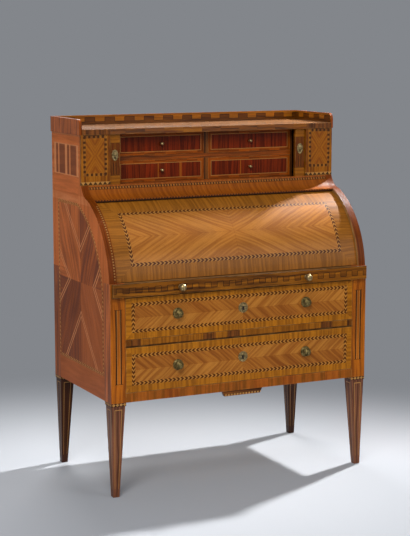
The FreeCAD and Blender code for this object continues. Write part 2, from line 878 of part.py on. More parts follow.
def tracks(label, level):
    """The grooves that the stiles and tambours run in, from the middle to the pockets."""
    reach = number(track_half + s.track_play)
    grooves = []
    for side_name, side in SIDES.items():
        groove = doc.addObject("Part::Feature", f"{label}_{side_name}")
        groove.Shape = to_side(strip(0, reach, -reach, number(s.track_depth)), side)
        groove.Placement = Placement(Vector(0, 0, number(level)), Rotation())
        grooves.append(groove)
    return [fused(label, grooves)]


def make_shutters():
    low = stage_floor - s.track_depth + s.run_gap
    high = stage_top + s.track_depth - s.run_gap
    for side_name, side in SIDES.items():
        label = f"shutter_stile_{side_name}"
        x = flank(side, stile_outer - s.stile_width, stile_outer)
        stile_y = (stile_front, stile_front + s.stile_thick)
        body = board(label + "_body", x, stile_y, (stage_floor + s.run_gap, stage_top - s.run_gap))
        tongue = board(label + "_tongue", x, (track_y - track_half, track_y + track_half), (low, high))
        keep(fused(label, [body, tongue]))
        make_lock_plate(side_name, side)
        tambour = doc.addObject("Part::Feature", f"tambour_{side_name}")
        tambour.Shape = to_side(make_tambour(number(high - low)), side)
        tambour.Placement = Placement(Vector(0, 0, number(low)), Rotation())
        keep(tambour)


def make_lock_plate(side_name, side):
    label = f"shutter_lock_plate_{side_name}"
    width = s.lock_plate_width
    middle_x = (stile_outer - s.stile_width / 2) * side
    middle_z = (stage_base + stage_top) / 2 + s.lock_plate_rise
    points = [
        (0, 0),
        (width, 0),
        (width, s.lock_plate_straight),
        (0, s.lock_plate_straight),
    ]
    bends = {0: (s.lock_plate_bow, 1), 2: (s.lock_plate_bow, 1)}
    plate = shaped(label + "_blank", "XZ_Plane", points, bends, s.plate_thick,
                   middle_x - width / 2, stile_front, middle_z - s.lock_plate_straight / 2)
    keyhole = rod(label + "_keyhole", "y", s.keyhole_radius, s.plate_thick,
                  middle_x, stile_front - s.plate_thick, middle_z)
    keep(cut(label, plate, [keyhole]))


def make_tambour(height):
    """Slats on a canvas strip, stowed along the right-hand route."""
    reach = number(track_half)
    canvas = number(s.canvas_thick)
    width = number(s.slat_width)
    pitch = number(s.slat_pitch)
    start = number(stile_outer)
    line = Part.Wire(route(start, 0))
    count = int(line.Length / pitch)
    spots = line.discretize(Number=2 * count + 1)
    solids = [strip(start, canvas - reach, -reach, height)]
    for slat in range(count):
        before = spots[2 * slat]
        middle = spots[2 * slat + 1]
        after = spots[2 * slat + 2]
        heading = math.degrees(math.atan2(after.y - before.y, after.x - before.x))
        block = Part.makeBox(width, number(s.slat_thick), height, Vector(-width / 2, -reach, 0))
        block.Placement = Placement(middle, Rotation(Vector(0, 0, 1), heading))
        solids.append(block)
    return Part.makeCompound(solids)


def make_small_drawers():
    levels = {
        "lower": (stage_base, shelf_level),
        "upper": (upper_cell, stage_top),
    }
    for level_name, (low, high) in levels.items():
        for side_name, side in SIDES.items():
            label = f"small_drawer_{level_name}_{side_name}"
            gap = s.small_gap
            x = flank(side, s.cell_divider / 2 + gap, cell_half - gap)
            middle_x = (s.cell_divider / 2 + cell_half) / 2 * side
            middle_z = (low + high) / 2
            face_y = (cell_front, cell_front + s.small_front)
            face = board(label + "_face_blank", x, face_y, (low + gap, high - gap), s.arris)
            hole = rod(label + "_stud_hole", "y", s.small_stud_radius + s.stud_gap,
                       s.small_front, middle_x, cell_front, middle_z)
            front_board = cut(label + "_face", face, [hole])
            floor = low + s.run_gap
            boards = drawer_box(label, (x[0] + gap, x[1] - gap),
                                (face_y[1], back_inner - s.small_rear_gap), floor,
                                high - s.small_headroom - floor, s.small_side, s.small_side,
                                s.small_bottom, s.small_bottom_rise)
            keep(group(label, [front_board] + boards))
            keep(ball_knob(f"small_knob_{level_name}_{side_name}", s.small_stud_length,
                           s.small_stud_radius, s.small_knob_flange, s.small_knob_collar,
                           s.small_knob_neck, s.small_knob_neck_length, s.small_knob_radius,
                           middle_x, cell_front, middle_z))


def make_fitment():
    """A low case of pigeonholes behind the fall, with a drawer in each outer bay."""
    end = inside - s.fitment_side_gap
    end_inner = end - s.fitment_board
    bay_inner = end_inner - s.fitment_bay
    upright = bay_inner - s.fitment_upright
    cell = s.fitment_cell / 2
    y = (s.fitment_front, back_inner)
    floor = shoulder + s.fitment_board
    top = shoulder + s.fitment_height
    ceiling = top - s.fitment_board
    shelf = floor + s.fitment_drawer_height
    boards = [
        board("fitment_base", spread(end), y, (shoulder, floor)),
        board("fitment_top", spread(end), y, (ceiling, top)),
    ]
    for side_name, side in SIDES.items():
        boards.append(board(f"fitment_end_{side_name}", flank(side, end_inner, end), y, (floor, ceiling)))
        boards.append(board(f"fitment_upright_{side_name}", flank(side, upright, bay_inner), y,
                            (floor, ceiling)))
        boards.append(board(f"fitment_cell_{side_name}", flank(side, cell, cell + s.fitment_upright), y,
                            (floor, ceiling)))
        boards.append(board(f"fitment_shelf_{side_name}", flank(side, bay_inner, end_inner), y,
                            (shelf, shelf + s.fitment_upright)))
        make_fitment_drawer(side_name, side, bay_inner, end_inner, floor, shelf)
    keep(group("fitment_case", boards))


def make_fitment_drawer(side_name, side, inner, outer, low, high):
    label = f"fitment_drawer_{side_name}"
    gap = s.small_gap
    x = flank(side, inner + gap, outer - gap)
    face = s.fitment_front + s.fitment_drawer_setback
    face_y = (face, face + s.fitment_drawer_front)
    floor = low + s.run_gap
    boards = drawer_box(label, (x[0] + gap, x[1] - gap), (face_y[1], back_inner - s.fitment_rear_gap),
                        floor, high - s.fitment_drawer_headroom - floor, s.fitment_drawer_side,
                        s.fitment_drawer_side, s.fitment_drawer_bottom, s.fitment_drawer_bottom_rise)
    boards.append(board(label + "_face", x, face_y, (low + gap, high - gap), s.arris))
    ball = s.fitment_knob_radius
    neck = s.fitment_knob_neck
    neck_end = s.fitment_knob_neck_length
    points = [
        (0, 0),
        (0, neck),
        (neck_end, neck),
        (neck_end + root(ball * ball - neck * neck) + ball, 0),
    ]
    boards.append(turned(label + "_knob", points, {2: (ball, -1)}, (inner + outer) / 2 * side, face,
                         (low + high) / 2))
    keep(group(label, boards))


def write_pieces():
    doc.recompute()
    bad = [item.Label for item in doc.Objects if "Invalid" in item.State or "Error" in item.State]
    bad += [item.Label for item in pieces if item.Shape.isNull() or not item.Shape.isValid()]
    if bad:
        raise RuntimeError("these objects failed: " + ", ".join(sorted(set(bad))))
    os.makedirs("parts", exist_ok=True)
    for item in pieces:
        item.Shape.exportStep(f"parts/{item.Label}.step")


make_posts()
make_legs()
make_case()
make_sides()
make_fall()
make_slide()
make_long_drawer("lower_drawer", lower_level, s.lower_front_height, s.lower_pull_rise,
                 s.lower_lock_rise)
make_long_drawer("upper_drawer", upper_level, s.upper_front_height, s.upper_pull_rise,
                 s.upper_lock_rise)
make_stage()
make_shutters()
make_small_drawers()
make_fitment()
write_pieces()
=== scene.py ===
import bpy
import math
from mathutils import Matrix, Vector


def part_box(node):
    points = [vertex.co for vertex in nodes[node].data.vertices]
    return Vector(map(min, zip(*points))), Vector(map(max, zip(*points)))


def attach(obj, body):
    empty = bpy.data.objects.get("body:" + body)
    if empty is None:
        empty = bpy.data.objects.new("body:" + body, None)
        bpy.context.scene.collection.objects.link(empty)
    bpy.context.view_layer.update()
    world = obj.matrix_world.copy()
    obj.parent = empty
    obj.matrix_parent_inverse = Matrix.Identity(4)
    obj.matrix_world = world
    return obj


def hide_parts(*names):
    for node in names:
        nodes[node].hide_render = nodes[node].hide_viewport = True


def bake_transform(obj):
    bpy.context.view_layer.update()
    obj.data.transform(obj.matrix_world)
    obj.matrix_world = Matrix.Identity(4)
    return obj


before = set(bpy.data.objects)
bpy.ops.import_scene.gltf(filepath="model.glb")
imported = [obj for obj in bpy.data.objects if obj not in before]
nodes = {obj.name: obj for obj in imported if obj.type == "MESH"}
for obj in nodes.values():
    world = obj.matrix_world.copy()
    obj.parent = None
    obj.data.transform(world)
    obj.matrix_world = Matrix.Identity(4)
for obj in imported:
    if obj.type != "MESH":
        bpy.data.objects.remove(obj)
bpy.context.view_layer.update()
print("desk frame loaded:", len(nodes), "nodes")


# Colours, as a painter's values from 0 to 255
def tint(red, green, blue):
    parts = [part / 255 for part in (red, green, blue)]
    linear = [part / 12.92 if part <= 0.04045 else ((part + 0.055) / 1.055) ** 2.4 for part in parts]
    return (*linear, 1.0)


woods = {
    "tulipPale": (185, 119, 46), "tulipLight": (204, 138, 56), "tulipMiddle": (168, 101, 32),
    "tulipDark": (128, 66, 16), "fallDark": (144, 82, 25), "frameLight": (188, 116, 20),
    "frameDark": (132, 76, 10), "goldLight": (166, 100, 18), "goldDark": (116, 64, 8),
    "oliveLight": (162, 100, 28), "oliveDark": (122, 72, 16), "orangeLight": (172, 92, 22),
    "orangeDark": (124, 58, 8), "hollowLight": (158, 84, 20), "hollowDark": (120, 58, 10),
    "postLight": (190, 104, 18), "postDark": (128, 62, 8), "bandLight": (164, 78, 12),
    "bandDark": (92, 38, 4), "sideString": (228, 150, 96), "sideLight": (222, 120, 56),
    "sideMiddle": (186, 96, 40), "sideDark": (94, 46, 27), "sideDeep": (116, 59, 36),
    "redLight": (134, 42, 5), "redDark": (70, 17, 1), "legLight": (142, 88, 60),
    "legDark": (72, 40, 27), "topLight": (178, 126, 82), "topDark": (110, 70, 40),
    "walnutLight": (136, 76, 24), "walnutDark": (58, 28, 8), "blackWood": (32, 14, 5),
    "arrowDark": (76, 34, 6), "boxwood": (204, 150, 80), "oakLight": (182, 136, 82),
    "oakDark": (132, 90, 48),
}
woods = {label: tint(*colour) for label, colour in woods.items()}


# A node's output, written like a number: each operator adds a math node to the same tree.
# Masks are 0 or 1, so & is both, | is either and ~ is not.
class Value:
    def __init__(self, socket):
        self.socket = socket

    def __add__(self, other):
        return calc("ADD", self, other)

    def __sub__(self, other):
        return calc("SUBTRACT", self, other)

    def __rsub__(self, other):
        return calc("SUBTRACT", other, self)

    def __mul__(self, other):
        return calc("MULTIPLY", self, other)

    def __truediv__(self, other):
        return calc("DIVIDE", self, other)

    def __lt__(self, other):
        return calc("LESS_THAN", self, other)

    def __gt__(self, other):
        return calc("GREATER_THAN", self, other)

    def __abs__(self):
        return calc("ABSOLUTE", self)

    def __and__(self, other):
        return calc("MULTIPLY", self, other)

    def __or__(self, other):
        return calc("MAXIMUM", self, other)

    def __invert__(self):
        return calc("SUBTRACT", 1.0, self)


def feed(socket, value):
    if isinstance(value, Value):
        socket.id_data.links.new(value.socket, socket)
    else:
        socket.default_value = woods[value] if isinstance(value, str) else value


def setInputs(node, inputs):
    for label, value in inputs.items():
        feed(node.inputs[label], value)


# Adds a node to the tree that the values come from. Settings are its properties.
def addNode(kind, inputs, **settings):
    tree = next(value.socket.id_data for value in inputs.values() if isinstance(value, Value))
    node = tree.nodes.new("ShaderNode" + kind)
    for label, setting in settings.items():
        setattr(node, label, setting)
    setInputs(node, inputs)
    return node


def calc(operation, *values):
    return Value(addNode("Math", dict(enumerate(values)), operation=operation).outputs[0])


def fract(value):
    return calc("FRACT", value)


def lowest(first, second):
    return calc("MINIMUM", first, second)


def highest(first, second):
    return calc("MAXIMUM", first, second)


def distance(first, second):
    return calc("SQRT", first * first + second * second)


def between(value, low, high):
    return (value > low) & (value < high)


def nearLine(value, middle, width):
    return abs(value - middle) < width / 2


def zigzag(value):  # 1 at whole numbers, 0 half way between them
    return abs(fract(value) - 0.5) * 2.0


def pitches(run, pitch):  # how many pitches along, from a metre to the left of the middle
    return (run + 1.0) / pitch


def ramp(value, low, high):  # 0 below low, 1 above high
    node = addNode("MapRange", {"Value": value, "From Min": low, "From Max": high},
                   interpolation_type="SMOOTHSTEP")
    return Value(node.outputs[0])


def mixValue(factor, first, second):
    return Value(addNode("Mix", {0: factor, 2: first, 3: second}).outputs[0])


def mixColour(factor, first, second):
    return Value(addNode("Mix", {0: factor, 6: first, 7: second}, data_type="RGBA").outputs[2])


def paint(colour, mask, strength, wood):
    return mixColour(mask * strength, colour, wood)


def vector(x, y, z):
    return Value(addNode("CombineXYZ", {0: x, 1: y, 2: z}).outputs[0])


def parts(value):
    return [Value(part) for part in addNode("SeparateXYZ", {0: value}).outputs]


def noise(place, detail=2.0, roughness=0.5, scale=1.0):
    inputs = {"Vector": place, "Scale": scale, "Detail": detail, "Roughness": roughness}
    return Value(addNode("TexNoise", inputs).outputs[0])


def chance(value):  # one random value for each whole number
    node = addNode("TexWhiteNoise", {"W": calc("FLOOR", value)}, noise_dimensions="1D")
    return Value(node.outputs["Value"])


def useGroup(group, **values):
    outputs = addNode("Group", values, node_tree=group).outputs
    return {output.name: Value(output) for output in outputs}


def addBump(shader, height, strength, distance):
    bump = addNode("Bump", {"Height": height, "Strength": strength, "Distance": distance})
    feed(shader.inputs["Normal"], Value(bump.outputs[0]))


# Makes a group from a function that turns the group's inputs into its outputs
def makeGroup(work, inputs, outputs):
    tree = bpy.data.node_groups.new(work.__name__, "ShaderNodeTree")
    for way, sockets in (("INPUT", inputs), ("OUTPUT", outputs)):
        for kind, labels in sockets.items():
            for label in labels.split():
                tree.interface.new_socket(label, in_out=way, socket_type="NodeSocket" + kind)
    given = {socket.name: Value(socket) for socket in tree.nodes.new("NodeGroupInput").outputs if socket.name}
    wanted = tree.nodes.new("NodeGroupOutput").inputs
    for label, value in work(given).items():
        feed(wanted[label], value)
    return tree


# Sawn veneer: broad streaks, fine fibres and short pores. Scales are along the grain and across it.
veneer = {"swayScale": (5.0, 9.0), "sway": 0.024, "streakScale": 4.0, "streaks": (0.34, 0.66),
          "fibreScale": (9.0, 520.0), "poreScale": (70.0, 1500.0), "pores": (0.58, 0.70),
          "cloudScale": (4.0, 7.0), "streakShare": 0.72, "fibreShare": 0.26, "cloudShare": 0.34,
          "lower": 0.16, "poreShare": 0.4, "fibreHeight": 0.5}


def sawnVeneer(given):
    along, across, seed = given["Along"], given["Across"], given["Seed"]

    def figure(label, spread, *detail):
        alongScale, acrossScale = veneer[label]
        return noise(vector(along * alongScale, spread * acrossScale, seed), *detail)

    swayed = figure("swayScale", across) * veneer["sway"] + across
    streaks = noise(vector(along * veneer["streakScale"], swayed / given["Streak"], seed), 2.0, 0.55)
    fibres = figure("fibreScale", swayed)
    pores = ramp(figure("poreScale", swayed, 1.0), *veneer["pores"])
    clouds = figure("cloudScale", across)
    amount = ramp(streaks, *veneer["streaks"]) * veneer["streakShare"] + fibres * veneer["fibreShare"]
    amount = amount + clouds * veneer["cloudShare"] - veneer["lower"]
    amount.socket.node.use_clamp = True
    colour = mixColour(amount, given["Dark"], given["Light"])
    shade = mixColour(0.5, given["Dark"], "blackWood")
    return {"Color": paint(colour, pores, veneer["poreShare"], shade),
            "Height": fibres * veneer["fibreHeight"] - pores}


veneerGroup = makeGroup(sawnVeneer, {"Float": "Along Across Seed Streak", "Color": "Dark Light"},
                        {"Color": "Color", "Float": "Height"})

# Four matched quarters whose grain runs out from the middle
quarters = {"seam": 0.0006}


def quarterMatch(given):
    u, v = abs(given["U"]), abs(given["V"])
    run, rise = calc("COSINE", given["Slope"]), calc("SINE", given["Slope"])
    return {"Along": u * run + v * rise, "Across": v * run - u * rise,
            "Even": given["U"] * given["V"] > 0.0, "Seam": lowest(u, v) < quarters["seam"]}


quarterGroup = makeGroup(quarterMatch, {"Float": "U V Slope"}, {"Float": "Along Across Even Seam"})


# A band round a rectangle, with the way along it and across it
def bandRoundPanel(given):
    u, v, band = given["U"], given["V"], given["Band"]
    fromSide, fromEnd = given["HalfWidth"] - abs(u), given["HalfHeight"] - abs(v)
    depth = lowest(fromSide, fromEnd)
    upright, inside = fromSide < fromEnd, depth > band
    along = mixValue(upright, u * calc("SIGN", v), v * (calc("SIGN", u) * -1.0))
    return {"Depth": depth, "Band": (depth > 0.0) & ~inside, "Inside": inside, "Upright": upright,
            "Along": along * given["Turn"], "Across": depth / band}


borderGroup = makeGroup(bandRoundPanel, {"Float": "U V HalfWidth HalfHeight Band Turn"},
                        {"Float": "Depth Band Inside Upright Along Across"})

# Arrowheads one behind the other, dark with a thin light edge. Phases are shares of the pitch.
arrowBand = {"width": 0.0122, "pitch": 0.0152, "darkPhase": 0.54, "lightPhase": (0.60, 0.94), "dark": 0.95,
             "light": 0.4}


def arrowheadBand(given):
    tip = 0.5 - abs(given["Across"] - 0.5)
    phase = fract(given["Along"] / given["Pitch"] - tip)
    return {"Dark": phase < arrowBand["darkPhase"], "Light": between(phase, *arrowBand["lightPhase"])}


chevronGroup = makeGroup(arrowheadBand, {"Float": "Along Across Pitch"}, {"Float": "Dark Light"})

# A dark line that steps up and down like battlements, with blocks above and below it
battlement = {"halfLine": 0.0011, "halfStep": 0.0022}


def battlementLine(given):
    rise, across = given["Rise"], given["Across"]
    phase = fract(given["Along"] / given["Pitch"])
    offset = across - mixValue(phase < 0.5, rise * -1.0, rise)
    corner = abs(fract(phase * 2.0 + 0.5) - 0.5)
    steep = (corner * given["Pitch"] < battlement["halfStep"]) & (abs(across) < rise)
    return {"Line": (abs(offset) < battlement["halfLine"]) | steep, "Above": offset > 0.0}


battlementGroup = makeGroup(battlementLine, {"Float": "Along Across Pitch Rise"}, {"Float": "Line Above"})

# Rubbed edges of a board that lies between two corners, in patches
rubbing = {"depth": (0.0008, 0.0042), "patchScale": 34.0, "patches": (0.42, 0.66)}


def rubbedEdge(given):
    sides = []
    for first, second in (("Place", "Low"), ("High", "Place")):
        gap = addNode("VectorMath", {0: given[first], 1: given[second]}, operation="SUBTRACT")
        sides.append(parts(Value(gap.outputs[0])))
    x, y, z = (lowest(low, high) for low, high in zip(*sides))
    fromEdge = highest(lowest(x, y), lowest(highest(x, y), z))
    patches = noise(given["Place"], scale=rubbing["patchScale"])
    return {"Mask": ~ramp(fromEdge, *rubbing["depth"]) & ramp(patches, *rubbing["patches"])}


rubbedGroup = makeGroup(rubbedEdge, {"Vector": "Place Low High"}, {"Float": "Mask"})

# Old polish: thin wax clouds that change the gloss and the tone
waxClouds = {"cloudScale": 6.0, "smearScale": 90.0, "base": 0.20, "cloudShare": 0.22, "smearShare": 0.10,
             "tone": (0.35, 0.75)}


def oldPolish(given):
    cloud = noise(given["Place"], 5.0, scale=waxClouds["cloudScale"])
    smear = noise(given["Place"], 3.0, scale=waxClouds["smearScale"])
    roughness = smear * waxClouds["smearShare"] + (cloud * waxClouds["cloudShare"] + waxClouds["base"])
    return {"Roughness": roughness, "Tone": ramp(cloud, *waxClouds["tone"])}


polishGroup = makeGroup(oldPolish, {"Vector": "Place"}, {"Float": "Roughness Tone"})
print("veneer, band and polish groups made")


# A material starts with its shader and the place on the desk
def startMaterial(name):
    material = bpy.data.materials.new(name)
    material.use_nodes = True
    tree = material.node_tree
    place = tree.nodes.new("ShaderNodeTexCoord").outputs["Object"]
    return material, tree.nodes["Principled BSDF"], Value(place)


def toFront(facing):
    return facing[1] < -0.5


def upward(facing):
    return facing[2] > 0.5


# A wood is a dictionary of what the grain needs. An inlay changes it where a mask is 1.
def wood(along, across, dark, light, streak, seed):
    return {"Along": along, "Across": across, "Dark": dark, "Light": light, "Streak": streak, "Seed": seed}


def inlay(base, mask, **changes):
    for label, value in changes.items():
        mixer = mixColour if label in ("Dark", "Light") else mixValue
        base[label] = mixer(mask, base[label], value)


# The finish of all wood. A look may change any part of it, and its shades and shares are how strongly
# dark and light woods show.
finish = {"gloss": 0.0, "shine": 0.13, "pores": 0.22, "poreDepth": 0.0004, "rubbed": 0.0, "waxTone": 0.16,
          "coat": 0.03, "coatRoughness": 0.18}
rubbedEdges = {"rubbed": 0.16}


# A draw function gives the wood, and then what is painted on it in order as mask, strength and wood
def woodMaterial(name, draw, look):
    look = finish | look
    material, shader, place = startMaterial(name)
    facing = parts(Value(place.socket.node.outputs["Normal"]))
    grain, paints = draw(*parts(place), facing, look)
    if "Metal" in grain:
        feed(shader.inputs["Metallic"], grain.pop("Metal"))
    cut = useGroup(veneerGroup, **grain)
    wax = useGroup(polishGroup, Place=place)
    paints = [*paints, (wax["Tone"], look["waxTone"], "blackWood")]
    if look["rubbed"]:
        low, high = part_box(name)
        edges = useGroup(rubbedGroup, Place=place, Low=low, High=high)
        paints.append((edges["Mask"], look["rubbed"], "boxwood"))
    colour = cut["Color"]
    for row in paints:
        colour = paint(colour, *row)
    setInputs(shader, {"Base Color": colour, "Roughness": wax["Roughness"] - look["gloss"],
                       "Specular IOR Level": look["shine"], "Coat Weight": look["coat"],
                       "Coat Roughness": look["coatRoughness"]})
    addBump(shader, cut["Height"], look["pores"], look["poreDepth"])
    return material


def dress(node, material):
    shown = nodes[node]
    if not shown.material_slots:
        shown.data.materials.append(material)
    for slot in shown.material_slots:
        slot.material = material


# Each node gets its own material, unless they share one
def dressWood(draw, look, *dressed, shared=""):
    for node in dressed:
        dress(node, bpy.data.materials.get(shared) or woodMaterial(shared or node, draw, look))


hands = {"left": -1, "right": 1}


def bothHands(node):
    return [f"{node}_{side}" for side in hands]


# Boards of one wood: the grain runs along the first axis, and the others add up across it
def drawPlain(x, y, z, facing, look):
    places = {"X": x, "Y": y, "Z": z}
    along, across, *others = (places[axis] for axis in look["axes"])
    for other in others:
        across = across + other
    return wood(along, across, look["dark"], look["light"], look["streak"], look["seed"]), []


def plain(dark, light, axes, streak, seed, gloss=0.0):
    return {"dark": dark, "light": light, "axes": axes, "streak": streak, "seed": seed, "gloss": gloss}


oakBoard = plain("oakDark", "oakLight", "XYZ", 0.02, 178.0, -0.2)
plainBoards = {
    "rear_posts": plain("sideDark", "sideMiddle", "ZXY", 0.012, 64.0),
    "centre_dividers": plain("walnutDark", "walnutLight", "ZXY", 0.010, 170.0),
    "drawer_shelf": plain("walnutDark", "bandLight", "XYZ", 0.010, 171.0),
    "stage_floor": plain("walnutDark", "walnutLight", "XYZ", 0.010, 172.0),
    "pocket_walls": plain("walnutDark", "walnutLight", "ZXY", 0.014, 176.0),
    "fitment_case": plain("redDark", "redLight", "XYZ", 0.012, 182.0),
}
for node in ("bottom_board", "rear_rail", "dust_board", "drawer_guides", "slide_bearers", "slide_panel"):
    plainBoards[node] = oakBoard
for node, look in plainBoards.items():
    dressWood(drawPlain, look, node)
print("plain boards dressed")

# The back: upright boards, each with its own figure, and a dark joint between them
backBoards = {"pitch": 0.1667, "joint": 0.0018, "jointShade": 0.85, "stretch": 0.3, "streak": 0.012,
              "seed": 174.0, "gloss": -0.25}


def drawBack(x, y, z, facing, look):
    spot = pitches(x, look["pitch"])
    seed = chance(spot) * 40.0 + look["seed"]
    joint = fract(spot) < look["joint"] / look["pitch"]
    grain = wood(z * look["stretch"], x, "oakDark", "oakLight", look["streak"], seed)
    return grain, [(joint, look["jointShade"], "blackWood")]


dressWood(drawBack, backBoards, "back_panel")


# Arrowheads along a band, as on the drawers, the fall and the sides
def arrowheads(border, where, dark=arrowBand["dark"], light=arrowBand["light"]):
    chevron = useGroup(chevronGroup, Along=border["Along"], Across=border["Across"], Pitch=arrowBand["pitch"])
    band = border["Band"] & where
    return [(chevron["Light"] & band, light, "boxwood"), (chevron["Dark"] & band, dark, "arrowDark")]


# A band round a field of four quarters
def quarterPanel(u, v, look):
    border = useGroup(borderGroup, U=u, V=v, HalfWidth=look["halfWidth"], HalfHeight=look["halfHeight"],
                      Band=look["band"], Turn=look["turn"])
    return border, useGroup(quarterGroup, U=u, V=v, Slope=look["slope"])


# Long drawers: golden cross banding, an arrowhead band and a quartered field
drawerField = {"halfWidth": 0.423, "slope": math.radians(40), "seam": 0.5, "band": arrowBand["width"],
               **rubbedEdges}
longDrawers = {
    "upper_drawer_front": {"middle": 0.619, "halfHeight": 0.0515, "turn": 1.0, "seed": 3.0},
    "lower_drawer_front": {"middle": 0.4405, "halfHeight": 0.0540, "turn": -1.0, "seed": 8.0},
}


def drawLongDrawer(x, y, z, facing, look):
    v = z - look["middle"]
    border, quarter = quarterPanel(x, v, look)
    front, inside, even = toFront(facing), border["Inside"], quarter["Even"]
    grain = wood(v, x, "frameDark", "frameLight", streak=0.010, seed=look["seed"])
    inlay(grain, border["Upright"], Along=x, Across=v)
    inlay(grain, inside, Along=quarter["Along"], Across=quarter["Across"], Streak=0.010,
          Seed=calc("SIGN", x) * 2.0 + look["seed"], Dark=mixColour(even * 0.3, "tulipDark", "tulipMiddle"),
          Light=mixColour(even * 0.40 + 0.20, "tulipMiddle", "tulipLight"))
    inlay(grain, ~front, Along=x, Across=z, Dark="oakDark", Light="oakLight", Streak=0.012)
    seam = quarter["Seam"] & inside & front
    return grain, [*arrowheads(border, front), (seam, look["seam"], "tulipDark")]


for node, look in longDrawers.items():
    dressWood(drawLongDrawer, drawerField | look, node)

# Their boxes: grain along the sides, across the back and the bottom
drawerBox = {"side": 0.432, "gloss": -0.25}
boxSeeds = {"lower_drawer_box": 160.0, "upper_drawer_box": 166.0}


def drawBox(x, y, z, facing, look):
    grain = wood(x, y + z, "oakDark", "oakLight", streak=0.016, seed=look["seed"])
    inlay(grain, abs(x) > look["side"], Along=y, Across=z)
    return grain, []


for node, seed in boxSeeds.items():
    dressWood(drawBox, drawerBox | {"seed": seed}, node)
print("long drawers dressed")

# The fall, measured round its own axis
fall = {"axisY": 0.0768445, "axisZ": 0.711, "radius": 0.305, "inner": 0.292, "middle": math.radians(34.6),
        "halfWidth": 0.412, "halfHeight": 0.105, "slope": math.radians(28), "seam": 0.5, "turn": -1.0,
        "band": arrowBand["width"], "gloss": 0.02, "shine": 0.14, "pores": 0.04}


def drawFall(x, y, z, facing, look):
    ahead, up = look["axisY"] - y, z - look["axisZ"]
    v = (calc("ARCTAN2", up, ahead) - look["middle"]) * look["radius"]
    outside = distance(up, ahead) > look["inner"]
    border, quarter = quarterPanel(x, v, look)
    grain = wood(v, x, "oliveDark", "oliveLight", streak=0.008, seed=21.0)
    inlay(grain, border["Upright"], Along=x, Across=v)
    inlay(grain, border["Inside"], Along=quarter["Along"], Across=quarter["Across"], Dark="fallDark",
          Light="tulipPale", Streak=0.009, Seed=25.0)
    inlay(grain, ~outside, Along=x, Across=v, Dark="redDark", Light="redLight", Streak=0.02)
    seam = quarter["Seam"] & border["Inside"] & outside
    return grain, [*arrowheads(border, outside), (seam, look["seam"], "tulipDark")]


dressWood(drawFall, fall, "cylinder_fall")

# The sides: an arrowhead band round the lower panel, four quarters and four triangles,
# and a row of inlaid flutes on the upper panel
sidePanel = {"outer": 0.4985, "centreY": 0.160, "centreZ": 0.660, "bandRadius": 0.344, "band": 0.0105,
             "rear": 0.2325, "foot": 0.414, "top": 0.983, "lightBand": 1.010, "middleY": 0.022,
             "middleZ": 0.708, "strings": (0.0, 0.017), "string": 0.006, "slope": math.radians(66),
             "lowerShade": 0.38, "stringShare": 0.85, "arrowDark": 0.5, "arrowLight": 0.9, "shine": 0.07}
sideTriangles = (
    {"axis": "Y", "sign": 1.0, "apexY": 0.118, "apexZ": 0.7075, "spread": 1.09},
    {"axis": "Y", "sign": -1.0, "apexY": -0.091, "apexZ": 0.7077, "spread": 0.84},
    {"axis": "Z", "sign": 1.0, "apexY": 0.021, "apexZ": 0.816, "spread": 1.05},
    {"axis": "Z", "sign": -1.0, "apexY": 0.021, "apexZ": 0.605, "spread": 1.20},
)
sideFlutes = {"front": 0.0266, "rear": 0.2626, "low": 1.076, "high": 1.182, "pitch": 0.108, "string": 0.004,
              "stringShare": 0.6, "topLine": 1.217,
              "strips": (("sideString", 0.0, 0.017, 0.75), ("legDark", 0.020, 0.038, 0.6),
                         ("sideString", 0.0405, 0.048, 0.75), ("legDark", 0.052, 0.104, 0.62))}
edgeDots = {"inner": 0.4765, "outer": 0.4815, "low": 0.745, "high": 0.985, "pitch": 0.0095,
            "rowShade": 0.35, "dotShare": 0.45}


# How far a point is inside the lower panel, whose front and top follow the cheek, and its band
def sideBorder(y, z):
    ahead, up = highest(sidePanel["centreY"] - y, 0.0), highest(z - sidePanel["centreZ"], 0.0)
    roundDepth = sidePanel["bandRadius"] - distance(up, ahead)
    rearDepth = sidePanel["rear"] - y
    endDepth = lowest(z - sidePanel["foot"], sidePanel["top"] - z)
    straight = lowest(rearDepth, endDepth)
    curved, level = roundDepth < straight, endDepth < rearDepth
    depth = lowest(roundDepth, straight)
    bend = calc("ARCTAN2", up, ahead) * sidePanel["bandRadius"]
    around = lowest(z, sidePanel["centreZ"]) + bend
    inside = depth > sidePanel["band"]
    return {"Along": mixValue(curved, mixValue(level, z, y), around), "Across": depth / sidePanel["band"],
            "Band": (depth > 0.0) & ~inside, "Inside": inside, "Level": level & ~curved}


def flutes(y, z, where):
    look = sideFlutes
    phase = fract((look["rear"] - y) / look["pitch"]) * look["pitch"]
    inPanel = between(y, look["front"], look["rear"])
    tall = inPanel & between(z, look["low"], look["high"]) & where
    strings = nearLine(z, look["topLine"], look["string"])
    for height in (look["low"], look["high"]):
        strings = strings | (nearLine(z, height, look["string"]) & inPanel)
    strips = [(tall & between(phase, low, high), strength, label)
              for label, low, high, strength in look["strips"]]
    return [*strips, (strings & where, look["stringShare"], "sideString")]


# Dots along the curved front edge, light ones on the left cheek only
def cheekDots(x, y, z, where):
    look = edgeDots
    row = between(abs(x), look["inner"], look["outer"]) & between(z, look["low"], look["high"])
    row = row & (y < fall["axisY"]) & where
    turn = calc("ARCTAN2", z - fall["axisZ"], fall["axisY"] - y)
    light = fract(turn * (fall["radius"] / look["pitch"])) < 0.5
    light = row & light & (x < 0.0)
    return [(row, look["rowShade"], "blackWood"), (light, look["dotShare"], "boxwood")]


